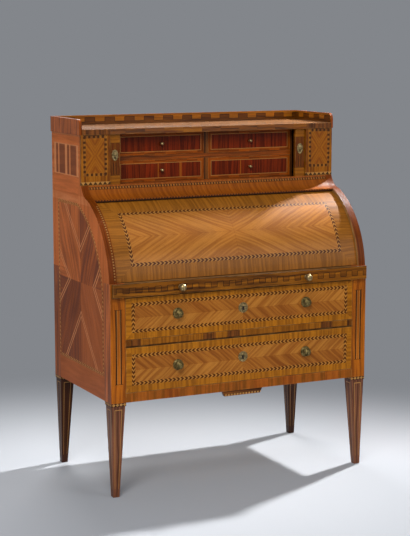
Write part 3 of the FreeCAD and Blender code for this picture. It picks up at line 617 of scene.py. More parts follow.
def drawSide(x, y, z, facing, look):
    border, v = sideBorder(y, z), z - look["middleZ"]
    quarter = useGroup(quarterGroup, U=y - look["middleY"], V=v, Slope=look["slope"])
    inside, even = border["Inside"], quarter["Even"]
    # painted shade: below the middle the side is painted darker, in its quarters and in its bands
    lower = (v < 0.0) * look["lowerShade"]
    grain = wood(z, y, "sideMiddle", "sideLight", streak=0.018, seed=40.0)
    inlay(grain, border["Level"], Along=y, Across=z)  # bands above and below the panel run crosswise
    inlay(grain, lower, Dark="sideDeep", Light="sideDark")
    inlay(grain, between(z, look["top"], look["lightBand"]) * 0.5, Dark="sideLight", Light="sideString")
    light = mixColour(lower, mixColour(even, "sideMiddle", "sideLight"), "sideDark")
    inlay(grain, inside, Along=quarter["Along"], Across=quarter["Across"], Streak=0.022, Seed=44.0,
          Light=light, Dark=mixColour(even * 0.55, "sideDeep", "sideMiddle"))
    strings = x * 0.0
    for triangle in sideTriangles:
        offY, offZ = y - triangle["apexY"], z - triangle["apexZ"]
        main, cross = (offY, offZ) if triangle["axis"] == "Y" else (offZ, offY)
        reach = main * triangle["sign"] - abs(cross) * triangle["spread"]
        inlay(grain, (reach > 0.0) & inside, Along=main, Across=cross, Streak=0.016, Seed=47.0)
        for shift in look["strings"]:
            strings = strings | (nearLine(reach, shift, look["string"]) & inside)
    outer, edge = abs(x) > look["outer"], abs(facing[0]) < 0.5
    inlay(grain, ~outer, Along=z, Across=y, Dark="oakDark", Light="oakLight", Streak=0.02)
    inlay(grain, edge, Along=y + z, Across=x, Dark="bandDark", Light="orangeDark", Streak=0.005)
    face = outer & ~edge
    return grain, [(strings & face, look["stringShare"], "sideString"),
                   *arrowheads(border, face, look["arrowDark"], look["arrowLight"]),
                   *flutes(y, z, face), *cheekDots(x, y, z, edge)]


dressWood(drawSide, sidePanel, *bothHands("side_panel"), shared="desk_sides")
print("fall and sides dressed")

# Posts: inlaid flutes on the front, plain blocks at their ends
postFlutes = {"outside": 0.5, "low": 0.395, "high": 0.650, "lines": (0.0205, 0.0380), "width": 0.0050,
              "lightShifts": (0.0029, -0.0029), "lightWidth": 0.0022, "endWidth": 0.0016,
              "ends": (0.0142, 0.0445), "innerEdge": 0.0508, "lightShare": 0.55, "darkShade": 0.9,
              "innerShade": 0.35, **rubbedEdges}


def drawPost(x, y, z, facing, look):
    fromEdge, front = look["outside"] - abs(x), toFront(facing)
    grain = wood(z, y, "sideDark", "sideLight", streak=0.012, seed=60.0)
    inlay(grain, front, Along=z, Across=fromEdge, Dark="postDark", Light="postLight", Streak=0.009)
    tall = between(z, look["low"], look["high"]) & front
    ends = nearLine(z, look["low"], look["endWidth"]) | nearLine(z, look["high"], look["endWidth"])
    dark = ends & between(fromEdge, *look["ends"]) & front
    light = []
    for line, shift in zip(look["lines"], look["lightShifts"]):
        lightLine = nearLine(fromEdge, line + shift, look["lightWidth"]) & tall
        light.append((lightLine, look["lightShare"], "boxwood"))
        dark = dark | (nearLine(fromEdge, line, look["width"]) & tall)
    inner = (fromEdge > look["innerEdge"]) & front
    return grain, [*light, (dark, look["darkShade"], "blackWood"), (inner, look["innerShade"], "blackWood")]


dressWood(drawPost, postFlutes, *bothHands("front_post"))

# Tapered legs with light strings along every face
legs = {"footOut": 0.47975, "topOut": 0.4725, "footDeep": 0.24475, "topDeep": 0.2375, "middleY": 0.021,
        "footHalf": 0.01125, "topHalf": 0.0258, "height": 0.33, "low": 0.03, "high": 0.306, "string": 0.10,
        "at": 0.52, "cap": 0.003, "stringShare": 0.6}


def drawLeg(x, y, z, facing, look):
    share = z / look["height"]
    out = abs(x) - mixValue(share, look["footOut"], look["topOut"])
    deep = abs(y - look["middleY"]) - mixValue(share, look["footDeep"], look["topDeep"])
    across = mixValue(abs(facing[0]) > 0.5, out, deep)
    spot = abs(across / mixValue(share, look["footHalf"], look["topHalf"]))
    string = nearLine(spot, look["at"], look["string"]) & between(z, look["low"], look["high"])
    cap = nearLine(z, look["high"], look["cap"]) & (spot < look["at"] + look["string"] / 2)
    grain = wood(z, across, look["dark"], look["light"], streak=0.008, seed=70.0)
    return grain, [(string | cap, look["stringShare"], "boxwood")]


# the rear legs are painted in darker wood than the front ones, as painted shade
for row, dark, light in (("front", "legDark", "legLight"), ("rear", "walnutDark", "legDark")):
    dressWood(drawLeg, legs | {"dark": dark, "light": light}, *bothHands("leg_" + row), shared=row + "_legs")

# Bands round the heads of the legs: light lozenges on dark wood
collar = {"middle": 0.3245, "half": 0.0055, "pitch": 0.0136, "lozenge": 0.95, "lozengeShare": 0.7}


def drawCollar(x, y, z, facing, look):
    run = x + y
    rise = abs((z - look["middle"]) / look["half"])
    lozenge = rise + zigzag(pitches(run, look["pitch"])) < look["lozenge"]
    grain = wood(run, z, "walnutDark", "legDark", streak=0.008, seed=190.0)
    return grain, [(lozenge, look["lozengeShare"], "boxwood")]


dressWood(drawCollar, collar, "leg_collars")

# Rails and the top board: blocks of two woods set end to end on the front, and a painted shadow along the
# foot of the divider rail, over the lower drawer
railJoints = {"jointWidth": 0.0012, "joint": 0.3, "foot": 0.0, "footShade": 0.85, **rubbedEdges}
rails = {
    "bottom_rail": {"pitch": 0.058, "crosswise": True, "dark": "goldDark", "light": "orangeLight",
                    "otherDark": "orangeDark", "otherLight": "orangeLight", "share": 0.3, "joint": 0.25,
                    "ends": 0.5, "endDark": "orangeDark", "endLight": "orangeLight"},
    "divider_rail": {"pitch": 0.047, "crosswise": True, "dark": "goldDark", "light": "goldLight",
                     "otherDark": "walnutDark", "otherLight": "walnutLight", "share": 0.24, "ends": 0.424,
                     "endDark": "walnutDark", "endLight": "goldDark", "foot": 0.5236},
    "top_board": {"pitch": 0.074, "crosswise": False, "dark": "walnutDark", "light": "walnutLight",
                  "otherDark": "bandDark", "otherLight": "goldLight", "share": 0.4, "ends": 0.3895,
                  "endDark": "walnutDark", "endLight": "walnutLight", "gloss": 0.16, "shine": 0.3},
}


def drawRail(x, y, z, facing, look):
    spot = pitches(x, look["pitch"])
    pick, front = chance(spot), toFront(facing)
    along, across = (z, x) if look["crosswise"] else (x, z)
    grain = wood(along, across, look["dark"], look["light"], streak=0.010, seed=pick * 40.0)
    inlay(grain, front & (pick < look["share"]), Dark=look["otherDark"], Light=look["otherLight"])
    ends = front & (abs(x) > look["ends"])
    inlay(grain, ends, Along=z, Across=x, Dark=look["endDark"], Light=look["endLight"])
    # the upward faces take a greyer, paler wood: partly the top's own wood, partly a painted reflection of
    # the grey room
    inlay(grain, upward(facing), Along=x, Across=y, Dark="topDark", Light="topLight", Seed=60.0)
    joint = (fract(spot) < look["jointWidth"] / look["pitch"]) & ~ends & front
    # painted shadow: below its foot the divider rail is painted near black, for the shade in the gap over the
    # lower drawer
    return grain, [(joint, look["joint"], "blackWood"), (z < look["foot"], look["footShade"], "blackWood")]


for node, look in rails.items():
    dressWood(drawRail, railJoints | look, node)
print("posts, legs and rails dressed")

# The slide's front edge: battlement line in red brown wood, golden at its right end, with its top face
# painted dark as painted shade under the fall
slideEdge = {"pitch": 0.047, "rise": 0.009, "middle": 0.715, "border": 0.0175, "golden": (0.14, 0.32),
             "borderShade": 0.3, "blockShade": 0.4, "lineShade": 0.85, **rubbedEdges}


def drawSlideFront(x, y, z, facing, look):
    v = z - look["middle"]
    line = useGroup(battlementGroup, Along=x + 1.0, Across=v, Pitch=look["pitch"], Rise=look["rise"])
    grain = wood(x, z, "walnutDark", "goldLight", streak=0.008, seed=80.0)
    inlay(grain, ramp(x, *look["golden"]), Dark="goldDark", Light="goldLight")
    blocks = line["Above"] & (v < look["border"])
    inlay(grain, blocks * look["blockShade"], Dark="blackWood", Light="bandDark")
    # the battlement line is inlay; the top face is painted dark as well, as painted shade under the fall's
    # bottom edge
    dark = (line["Line"] & toFront(facing)) | upward(facing)
    border = abs(v) > look["border"]
    return grain, [(border, look["borderShade"], "blackWood"), (dark, look["lineShade"], "blackWood")]


dressWood(drawSlideFront, slideEdge, "slide_front")

# The gallery: battlement blocks on its inner faces, plain red brown wood outside
gallery = {"pitch": 0.078, "rise": 0.008, "middle": 1.2575, "back": 0.2, "lineShade": 0.85}


def drawGallery(x, y, z, facing, look):
    forward = toFront(facing)
    atBack = forward & (y > look["back"])
    inner = atBack | (calc("SIGN", x) * facing[0] < -0.5)
    run = mixValue(atBack, y, x)
    line = useGroup(battlementGroup, Along=run + 1.0, Across=z - look["middle"], Pitch=look["pitch"],
                    Rise=look["rise"])
    grain = wood(z, x + y, "sideDark", "sideLight", streak=0.012, seed=140.0)
    inlay(grain, inner, Along=run, Across=z, Dark="walnutDark", Light="goldDark")
    inlay(grain, inner & line["Above"], Dark="goldDark", Light="goldLight")
    rim = upward(facing) | (forward & ~atBack)
    inlay(grain, rim, Along=x + y, Across=x - y, Dark="bandDark", Light="bandLight")
    return grain, [(line["Line"] & inner, look["lineShade"], "blackWood")]


dressWood(drawGallery, gallery, "gallery")

# The hollow moulding under the upper stage, with a row of dots at its top and another above its lip; below
# these the lip is painted near black, a painted shadow for the gap over the fall
hollow = {"dots": (1.0325, 1.0400), "pitch": 0.0108, "line": 0.0012, "lip": 0.9966,
          "lowDots": (0.9966, 1.0002), "rowShare": 0.2, "dotShade": 0.85, "lowDotShade": 0.8,
          "lipShade": 0.95}


def drawHollow(x, y, z, facing, look):
    row = between(z, *look["dots"])
    spots = fract(pitches(x, look["pitch"])) < 0.5
    dark = row & spots
    for height in look["dots"]:
        dark = dark | nearLine(z, height, look["line"])
    lowDots = between(z, *look["lowDots"]) & spots
    grain = wood(z, x, "hollowDark", "hollowLight", streak=0.011, seed=90.0)
    # painted shadow: under the lower dots the lip is painted near black, for the shaded gap over the fall
    return grain, [(row, look["rowShare"], "boxwood"), (dark, look["dotShade"], "blackWood"),
                   (lowDots, look["lowDotShade"], "blackWood"),
                   (z < look["lip"], look["lipShade"], "blackWood")]


dressWood(drawHollow, hollow, "cavetto_moulding")

# The drop under the front rail: dark, with a row of light dots near its edge
drop = {"dots": (0.3132, 0.3190), "pitch": 0.0115, "share": 0.55, "dotShare": 0.75}


def drawDrop(x, y, z, facing, look):
    dots = (fract(pitches(x, look["pitch"])) < look["share"]) & between(z, *look["dots"])
    grain = wood(x, z, "blackWood", "walnutLight", streak=0.007, seed=150.0)
    return grain, [(dots, look["dotShare"], "boxwood")]


dressWood(drawDrop, drop, "apron_drop")

# Panels at the ends of the upper stage: matched field, dotted border and a row of teeth
endPanel = {"middleX": 0.4465, "middleZ": 1.1485, "halfWidth": 0.0445, "halfHeight": 0.0705, "band": 0.0105,
            "turn": 1.0, "pitch": 0.0168, "dots": (0.06, 0.94), "slope": math.radians(58), "teethLow": 1.0475,
            "teethRise": 0.011, "teethPitch": 0.0180, "bandShare": 0.10, "dotShade": 0.9, "rowShare": 0.6,
            "teethShade": 0.9, **rubbedEdges}


def drawEndPanel(x, y, z, facing, look):
    u, v = abs(x) - look["middleX"], z - look["middleZ"]
    border, quarter = quarterPanel(u, v, look)
    band = border["Band"]
    grain = wood(v, u, "bandDark", "goldLight", streak=0.009, seed=100.0)
    inlay(grain, border["Inside"], Along=quarter["Along"], Across=quarter["Across"], Dark="orangeDark",
          Light="goldLight", Streak=0.008, Seed=104.0)
    dots = band & (fract(border["Along"] / look["pitch"]) < 0.5) & between(border["Across"], *look["dots"])
    height = (z - look["teethLow"]) / look["teethRise"]
    row = between(height, 0.0, 1.0)
    teeth = row & (zigzag(u / look["teethPitch"]) > height)
    return grain, [(band, look["bandShare"], "boxwood"), (dots, look["dotShade"], "walnutDark"),
                   (row, look["rowShare"], "boxwood"), (teeth, look["teethShade"], "blackWood")]


dressWood(drawEndPanel, endPanel, *bothHands("outer_panel"))

# Lock stiles of the shutters: light end blocks and a short dark flute under the lock plate
stile = {"blocks": (1.078, 1.190), "tall": (1.081, 1.122), "middle": 0.3695, "flute": 0.011, "string": 0.0028,
         "line": 0.0014, "fluteShade": 0.85, "stringShare": 0.8, "lineShade": 0.8, **rubbedEdges}


def drawStile(x, y, z, facing, look):
    x = abs(x)
    grain = wood(z, x, "bandDark", "goldDark", streak=0.008, seed=110.0)
    inlay(grain, ~between(z, *look["blocks"]), Along=x, Across=z, Dark="goldDark", Light="goldLight")
    tall = between(z, *look["tall"])
    flute, string = (tall & nearLine(x, look["middle"], look[part]) for part in ("flute", "string"))
    lines = [(nearLine(z, height, look["line"]), look["lineShade"], "blackWood") for height in look["blocks"]]
    return grain, [(flute, look["fluteShade"], "blackWood"), (string, look["stringShare"], "orangeLight"),
                   *lines]


dressWood(drawStile, stile, *bothHands("shutter_stile"))

# Small drawers: red field in orange banding, some with a light strip across
smallFront = {"face": 0.0495, "band": 0.0125, "rim": 0.0020, "strip": 0.0045, "block": 0.042, "shine": 0.08,
              "blockShade": 0.45, "rimShare": 0.5, "stripShare": 0.6, **rubbedEdges}
smallDrawers = {
    "small_drawer_upper_left": {"strips": (), "seed": 120.0},
    "small_drawer_upper_right": {"strips": (), "seed": 124.0},
    "small_drawer_lower_left": {"strips": (-0.1885, -0.1037, -0.0990), "seed": 128.0},
    "small_drawer_lower_right": {"strips": (0.1405,), "seed": 132.0},
}


def drawSmallDrawer(x, y, z, facing, look):
    low, high = look["box"]
    middle, half = (low + high) / 2, (high - low) / 2
    border = useGroup(borderGroup, U=x - middle.x, V=z - middle.z, HalfWidth=half.x, HalfHeight=half.z,
                      Band=look["band"], Turn=1.0)
    front = toFront(facing) & (y < look["face"])
    block = chance(pitches(x, look["block"]))
    grain = wood(z, x, "redDark", "redLight", streak=0.006, seed=block * 30.0 + look["seed"])
    inlay(grain, block * look["blockShade"], Light="bandDark")
    inlay(grain, border["Band"], Along=x, Across=z, Dark="bandDark", Light="bandLight")
    inlay(grain, border["Band"] & border["Upright"], Along=z, Across=x)
    inlay(grain, ~front, Along=y, Across=x + z, Dark="oakDark", Light="oakLight", Streak=0.012)
    rim = nearLine(border["Depth"], look["band"], look["rim"]) & front
    field = border["Inside"] & front
    strips = [(nearLine(x, strip, look["strip"]) & field, look["stripShare"], "orangeLight")
              for strip in look["strips"]]
    return grain, [(rim, look["rimShare"], "boxwood"), *strips]


for node, look in smallDrawers.items():
    dressWood(drawSmallDrawer, smallFront | look | {"box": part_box(node)}, node)
print("upper stage dressed")

# Aged brass, browner and greener where hands don't reach
brassLook = {"bright": tint(156, 134, 82), "pale": tint(172, 146, 100), "dull": tint(90, 78, 44),
             "green": tint(84, 80, 50), "metal": 0.9, "bump": 0.15, "grain": 0.0003}


def brassMaterial(name, polish=0.5, bright="bright"):
    material, shader, place = startMaterial(name)
    specks = noise(place, scale=900.0)
    dull = ramp(noise(place, 4.0, 0.6, 160.0), polish - 0.25, polish + 0.2)
    colour = mixColour(dull, brassLook[bright], brassLook["dull"])
    colour = mixColour(dull & ramp(specks, 0.45, 0.7), colour, brassLook["green"])
    setInputs(shader, {"Base Color": colour, "Roughness": dull * 0.20 + 0.36, "Metallic": brassLook["metal"]})
    addBump(shader, specks, brassLook["bump"], brassLook["grain"])
    return material


ironLook = {"dark": tint(46, 42, 40), "rusty": tint(70, 54, 44), "metal": 0.8, "bump": 0.25, "grain": 0.0003}


def ironMaterial():
    material, shader, place = startMaterial("blackIron")
    scale = noise(place, 4.0, scale=300.0)
    colour = mixColour(ramp(scale, 0.4, 0.7), ironLook["dark"], ironLook["rusty"])
    setInputs(shader, {"Base Color": colour, "Roughness": scale * 0.3 + 0.4, "Metallic": ironLook["metal"]})
    addBump(shader, scale, ironLook["bump"], ironLook["grain"])
    return material


brass = brassMaterial("agedBrass")
handledBrass = brassMaterial("handledBrass", polish=0.65, bright="pale")
plateBrass = brassMaterial("plateBrass", polish=0.56, bright="pale")
iron = ironMaterial()
for node in ("fall_arms", "fall_pivot_pins"):
    dress(node, iron)

# Drawers behind the fall: red fronts with brass knobs on boxes of plain wood
fitmentFront = {"knob": 0.0578, "box": 0.068}


def drawFitmentDrawer(x, y, z, facing, look):
    knob = y < look["knob"]
    grain = wood(x, y + z, "redDark", "redLight", streak=0.012, seed=182.0)
    inlay(grain, y > look["box"], Dark="oakDark", Light="oakLight")
    grain["Metal"] = knob * brassLook["metal"]
    return grain, [(knob, 1.0, brassLook["bright"])]


dressWood(drawFitmentDrawer, fitmentFront, *bothHands("fitment_drawer"))
print("brass and iron made, drawers behind the fall dressed")


# A mesh from one of Blender's add operators, with its place and scale taken into the mesh
def addMesh(name, add, scale=(1, 1, 1), **settings):
    bpy.ops.object.select_all(action="DESELECT")
    add(**settings)
    piece = bpy.context.active_object
    piece.name = name
    piece.scale = scale
    bpy.ops.object.transform_apply(location=True, rotation=True, scale=True)
    return piece


def extrude(x, y, z):
    bpy.ops.mesh.extrude_region_move(TRANSFORM_OT_translate={"value": (x, y, z)})


def closeUp(angle=34):
    bpy.ops.object.mode_set(mode="EDIT")
    bpy.ops.mesh.select_all(action="SELECT")
    bpy.ops.mesh.remove_doubles(threshold=1e-6)
    bpy.ops.mesh.normals_make_consistent(inside=False)
    bpy.ops.object.mode_set(mode="OBJECT")
    bpy.ops.object.shade_smooth_by_angle(angle=math.radians(angle))


# Turned brass is drawn as rings of radius and reach, from its back to its tip
def turnRings(name, rings, place, sides=40):
    x, y, z = place
    radius, reach = rings[0]
    piece = addMesh(name, bpy.ops.mesh.primitive_circle_add, vertices=sides, radius=radius, fill_type="NGON",
                    location=(x, y - reach, z), rotation=(math.pi / 2, 0, 0))
    bpy.ops.object.mode_set(mode="EDIT")
    for nextRadius, nextReach in rings[1:]:
        extrude(0, reach - nextReach, 0)
        grow = nextRadius / radius
        bpy.ops.transform.resize(value=(grow, 1, grow), center_override=(x, y - nextReach, z))
        radius, reach = nextRadius, nextReach
    closeUp()
    return piece


def joinPieces(main, *others):
    bpy.ops.object.select_all(action="DESELECT")
    for piece in (main, *others):
        piece.select_set(True)
    bpy.context.view_layer.objects.active = main
    bpy.ops.object.join()


def copyPiece(piece, name, shift):
    copy = piece.copy()
    copy.data = piece.data.copy()
    copy.name = name
    copy.data.transform(Matrix.Translation(shift))
    bpy.context.scene.collection.objects.link(copy)
    return copy


def coat(piece, *materials):
    for material in materials:
        piece.data.materials.append(material)


def fit(piece, body, node, slot, *materials):
    coat(piece, *materials)
    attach(piece, body)
    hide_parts(node)


# Drawer pulls: a beaded rose, a waisted neck and a domed knob, with the nut behind the front
pull = {
    "x": 0.251, "front": -0.244, "heights": {"upper_drawer": 0.623, "lower_drawer": 0.444},
    "rings": ((0.0030, -0.0250), (0.0030, 0.0), (0.0190, 0.0), (0.0190, 0.0010), (0.0184, 0.0017),
              (0.0176, 0.0017), (0.0172, 0.0011), (0.0158, 0.0011), (0.0153, 0.0020), (0.0140, 0.0029),
              (0.0104, 0.0034), (0.0076, 0.0043), (0.0066, 0.0064), (0.0067, 0.0092), (0.0084, 0.0114),
              (0.0122, 0.0128), (0.0142, 0.0140), (0.0145, 0.0153), (0.0141, 0.0166), (0.0127, 0.0183),
              (0.0116, 0.0193), (0.0110, 0.0191), (0.0100, 0.0193), (0.0094, 0.0206), (0.0074, 0.0225),
              (0.0044, 0.0236), (0.0014, 0.0240)),
    "nut": ((0.0058, -0.0245), (0.0064, -0.0240), (0.0064, -0.0206), (0.0058, -0.0201)),
    "roseBeads": {"ring": 0.0165, "reach": 0.0014, "bead": 0.0013, "count": 34},
    "domeBeads": {"ring": 0.0105, "reach": 0.0194, "bead": 0.0009, "count": 26},
    "beadShape": (1.15, 0.8, 1),
}


def beadRing(place, ring, reach, bead, count):
    x, y, z = place
    first = (x + ring, y - reach, z)
    beads = addMesh("beads", bpy.ops.mesh.primitive_uv_sphere_add, segments=8, ring_count=5, radius=bead,
                    location=first)
    bpy.ops.object.mode_set(mode="EDIT")
    bpy.ops.mesh.select_all(action="SELECT")
    bpy.ops.transform.resize(value=pull["beadShape"], center_override=first)
    bpy.ops.mesh.spin(steps=count, dupli=True, angle=2 * math.pi, center=place, axis=(0, 1, 0))
    closeUp(60)
    return beads


def makePulls():
    firstHeight = pull["heights"]["upper_drawer"]
    place = (-pull["x"], pull["front"], firstHeight)
    first = turnRings("pull", pull["rings"], place)
    nut = turnRings("nut", pull["nut"], place, sides=6)
    joinPieces(first, nut, *(beadRing(place, **pull[label]) for label in ("roseBeads", "domeBeads")))
    for body, height in pull["heights"].items():
        pair = copyPiece(first, body + "_knobs", (0, 0, height - firstHeight))
        joinPieces(pair, copyPiece(pair, "otherPull", (2 * pull["x"], 0, 0)))
        fit(pair, body, body + "_pulls", "brass", brass)
    bpy.data.objects.remove(first)


makePulls()
print("drawer pulls turned")

# Keyhole plates: a rimmed dish with a keyhole, and the lock case behind the front
lock = {
    "front": -0.244, "heights": {"upper_drawer": 0.623, "lower_drawer": 0.449},
    "rings": ((0.0185, 0.0), (0.0185, 0.0008), (0.0180, 0.0014), (0.0166, 0.0015), (0.0156, 0.0010),
              (0.0146, 0.0007), (0.0100, 0.0007), (0.0094, 0.0011), (0.0060, 0.0012), (0.0043, 0.0011),
              (0.0042, 0.0002)),
    "slotDrop": 0.0058, "slotTurn": math.radians(26), "hole": 0.0044,
    "case": {"size": (0.064, 0.011, 0.048), "y": -0.2185, "bevel": 0.0004, "inset": 0.006, "sink": 0.0012},
}


# Draws the lower part of the hole down to a slot, and blackens what is in it: dark iron for the lock inside,
# with painted shade for the depth of the hole
def cutKeyhole(piece, x, z, look):
    hole, drop = look["hole"], look["slotDrop"]
    for vertex in piece.data.vertices:
        offX, offZ = vertex.co.x - x, vertex.co.z - z
        below = abs(math.atan2(offX, -offZ)) < look["slotTurn"]
        if math.hypot(offX, offZ) < hole and below:
            vertex.co.z -= drop
    for face in piece.data.polygons:
        centre = face.center
        if abs(centre.x - x) < hole * 0.99 and z - hole - drop < centre.z < z + hole * 0.99:
            face.material_index = int(math.hypot(centre.x - x, min(0, centre.z - z + drop)) < hole)


def makeLockCase(height):
    look = lock["case"]
    case = addMesh("lockCase", bpy.ops.mesh.primitive_cube_add, look["size"], size=1,
                   location=(0, look["y"], height))
    for face in case.data.polygons:
        face.select = face.normal.y > 0.9
    bpy.ops.object.mode_set(mode="EDIT")
    bpy.ops.mesh.select_mode(type="FACE")
    bpy.ops.mesh.inset(thickness=look["inset"])
    extrude(0, -look["sink"], 0)
    bpy.ops.mesh.select_all(action="SELECT")
    bpy.ops.mesh.bevel(offset=look["bevel"], segments=2, affect="EDGES")
    closeUp(30)
    coat(case, iron)
    return case


def makeLocks():
    for body, height in lock["heights"].items():
        plate = turnRings(body + "_keyhole", lock["rings"], (0, lock["front"], height), sides=48)
        coat(plate, plateBrass, iron)
        cutKeyhole(plate, 0, height, lock)
        joinPieces(plate, makeLockCase(height))
        fit(plate, body, body + "_lock", "brass")


makeLocks()
print("locks and keyhole plates made")

# Long plates on the shutter stiles, scalloped round the edge, with the keyhole low down
stilePlate = {
    "x": 0.369, "z": 1.147, "front": 0.0155, "stretch": 1.62, "lobes": 10, "scallop": 0.035, "rim": 0.0117,
    "rings": ((0.0121, 0.0), (0.0121, 0.0006), (0.0117, 0.0011), (0.0104, 0.0013), (0.0096, 0.0009),
              (0.0050, 0.0009), (0.0044, 0.0013), (0.0020, 0.0014), (0.0005, 0.0014)),
    "keyDrop": 0.0055, "hole": 0.0036, "slotDrop": 0.0048, "slotTurn": math.radians(28),
    "keyhole": ((0.0046, 0.0004), (0.0046, 0.0012), (0.0040, 0.0015), (0.0036, 0.0014), (0.0035, 0.0010)),
}


def makeStilePlates():
    look = stilePlate
    for side, sign in hands.items():
        x, z = sign * look["x"], look["z"]
        plate = turnRings("shutter_plate_" + side, look["rings"], (x, look["front"], z), sides=60)
        for vertex in plate.data.vertices:
            offX, offZ = vertex.co.x - x, vertex.co.z - z
            onRim = math.hypot(offX, offZ) >= look["rim"]
            wave = 1 + look["scallop"] * math.cos(look["lobes"] * math.atan2(offX, offZ)) * onRim
            vertex.co.x = x + offX * wave
            vertex.co.z = z + offZ * wave * look["stretch"]
        coat(plate, plateBrass)
        low = z - look["keyDrop"]
        keyhole = turnRings("keyhole", look["keyhole"], (x, look["front"], low), sides=32)
        coat(keyhole, plateBrass, iron)
        cutKeyhole(keyhole, x, low, look)
        joinPieces(plate, keyhole)
        closeUp()
        fit(plate, "shutter_" + side, "shutter_lock_plate_" + side, "brass")


makeStilePlates()
print("shutter plates made")

# Ball knobs of the slide and of the small drawers
slideKnob = {"x": 0.246, "front": -0.257, "z": 0.715,
             "shape": {"stud": 0.003, "depth": 0.010, "flange": 0.009, "collar": 0.003, "neck": 0.005,
                       "ball": 0.013, "steps": 11}}
smallKnob = {"x": 0.17725, "front": 0.049, "heights": {"lower": 1.0855, "upper": 1.180},
             "shape": {"stud": 0.0015, "depth": 0.009, "flange": 0.0045, "collar": 0.0015, "neck": 0.0025,
                       "ball": 0.0065, "steps": 9}}


def ballRings(stud, depth, flange, collar, neck, ball, steps):
    rise = math.sqrt(ball * ball - neck * neck)
    start = collar + 0.001
    rings = [(stud, -depth), (stud, 0.0), (flange, 0.0), (flange, collar * 0.5),
             (flange * 0.9, collar * 0.85), (neck * 1.25, collar), (neck, start)]
    low = math.asin(neck / ball)
    for step in range(1, steps + 1):
        turn = low + (math.pi - low) * step / (steps + 0.35)
        rings.append((ball * math.sin(turn), start + rise - ball * math.cos(turn)))
    return rings


def makeKnobs():
    rings = ballRings(**slideKnob["shape"])
    left = turnRings("slide_pull_knobs", rings, (-slideKnob["x"], slideKnob["front"], slideKnob["z"]))
    joinPieces(left, copyPiece(left, "otherKnob", (2 * slideKnob["x"], 0, 0)))
    fit(left, "writing_slide", "slide_knobs", "brass", handledBrass)
    first = turnRings("smallKnob", ballRings(**smallKnob["shape"]), (0, smallKnob["front"], 0), sides=28)
    for level, height in smallKnob["heights"].items():
        for side, sign in hands.items():
            place = f"{level}_{side}"
            knob = copyPiece(first, "small_pull_" + place, (sign * smallKnob["x"], 0, height))
            fit(knob, "small_drawer_" + place, "small_knob_" + place, "brass", handledBrass)
    bpy.data.objects.remove(first)


makeKnobs()
print("knobs turned")

# Slatted curtains behind the stiles. They are drawn as when shut, and every point is then moved back
# to where the track holds it with the shutter open.
curtain = {"anchor": 0.438, "openEdge": 0.388, "travel": 0.3495, "slats": 28, "front": 0.0185, "thick": 0.006,
           "low": 1.0365, "high": 1.2235, "gap": 0.0006, "round": 0.0022}


def stowed(reach):  # how far a point of the shut curtain is from the anchor when the shutter is open
    width = curtain["anchor"] - curtain["openEdge"]
    low, high = 0.0, 1.0
    for _ in range(50):
        middle = (low + high) / 2
        shut = width * middle + curtain["travel"] * middle * middle * (3 - 2 * middle)
        low, high = (middle, high) if shut < reach else (low, middle)
    return width * low


def makeCurtains():
    look = curtain
    pitch = (look["anchor"] - look["openEdge"] + look["travel"]) / look["slats"]
    depth, height = look["front"] + look["thick"] / 2, (look["low"] + look["high"]) / 2
    slatMaterial = woodMaterial("slats", drawPlain, plain("goldDark", "goldLight", "ZX", 0.008, 186.0))
    for side, sign in hands.items():
        size = (pitch - look["gap"], look["thick"], look["high"] - look["low"])
        slats = addMesh("tambour_curtain_" + side, bpy.ops.mesh.primitive_cube_add, size, size=1,
                        location=(pitch / 2, depth, height))
        for edge in slats.data.edges:
            ends = [slats.data.vertices[index].co for index in edge.vertices]
            upright = abs(ends[0].z - ends[1].z) > size[2] / 2
            edge.select = upright and all(end.y < depth for end in ends)
        bpy.ops.object.mode_set(mode="EDIT")
        bpy.ops.mesh.select_mode(type="EDGE")
        bpy.ops.mesh.bevel(offset=look["round"], segments=4, affect="EDGES")
        bpy.ops.object.mode_set(mode="OBJECT")
        row = slats.modifiers.new("row", "ARRAY")
        row.count = look["slats"]
        row.use_relative_offset = False
        row.use_constant_offset = True
        row.constant_offset_displace = (pitch, 0, 0)
        bpy.ops.object.modifier_apply(modifier="row")
        for vertex in slats.data.vertices:
            vertex.co.x = sign * (look["anchor"] - stowed(vertex.co.x))
        closeUp(40)
        coat(slats, slatMaterial)
        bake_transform(slats)
        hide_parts("tambour_" + side)


makeCurtains()
print("slatted curtains hung")

# The writing leather: a thin skin laid in the slide, with gilt lines pressed in
leather = {"low": (-0.4015, -0.2100, 0.7355), "high": (0.4015, 0.0350, 0.7370),
           "lines": (0.014, 0.019, 0.030), "line": 0.0016, "press": 0.0002, "light": tint(62, 84, 52),
           "dark": tint(30, 46, 28), "gilt": tint(190, 150, 70), "pebbles": 900.0, "bump": 0.4,
           "grain": 0.0004}


def leatherMaterial():
    material, shader, place = startMaterial("greenLeather")
    x, y = parts(place)[:2]
    low, high = leather["low"], leather["high"]
    depth = lowest(lowest(x - low[0], high[0] - x), lowest(y - low[1], high[1] - y))
    pebbles = addNode("TexVoronoi", {"Vector": place, "Scale": leather["pebbles"]})
    pebbles = Value(pebbles.outputs["Distance"])
    clouds = noise(place, 5.0, 0.6, 14.0)
    colour = mixColour(ramp(clouds, 0.3, 0.7), leather["dark"], leather["light"])
    colour = mixColour(pebbles * 0.4, leather["dark"], colour)
    gilt = x * 0.0
    for line in leather["lines"]:
        gilt = gilt | nearLine(depth, line, leather["line"])
    gilt = gilt & ramp(noise(place, scale=60.0), 0.35, 0.5)  # worn away in places
    setInputs(shader, {"Base Color": mixColour(gilt, colour, leather["gilt"]), "Metallic": gilt * 0.8,
                       "Roughness": clouds * 0.25 + 0.35})
    addBump(shader, pebbles, leather["bump"], leather["grain"])
    return material


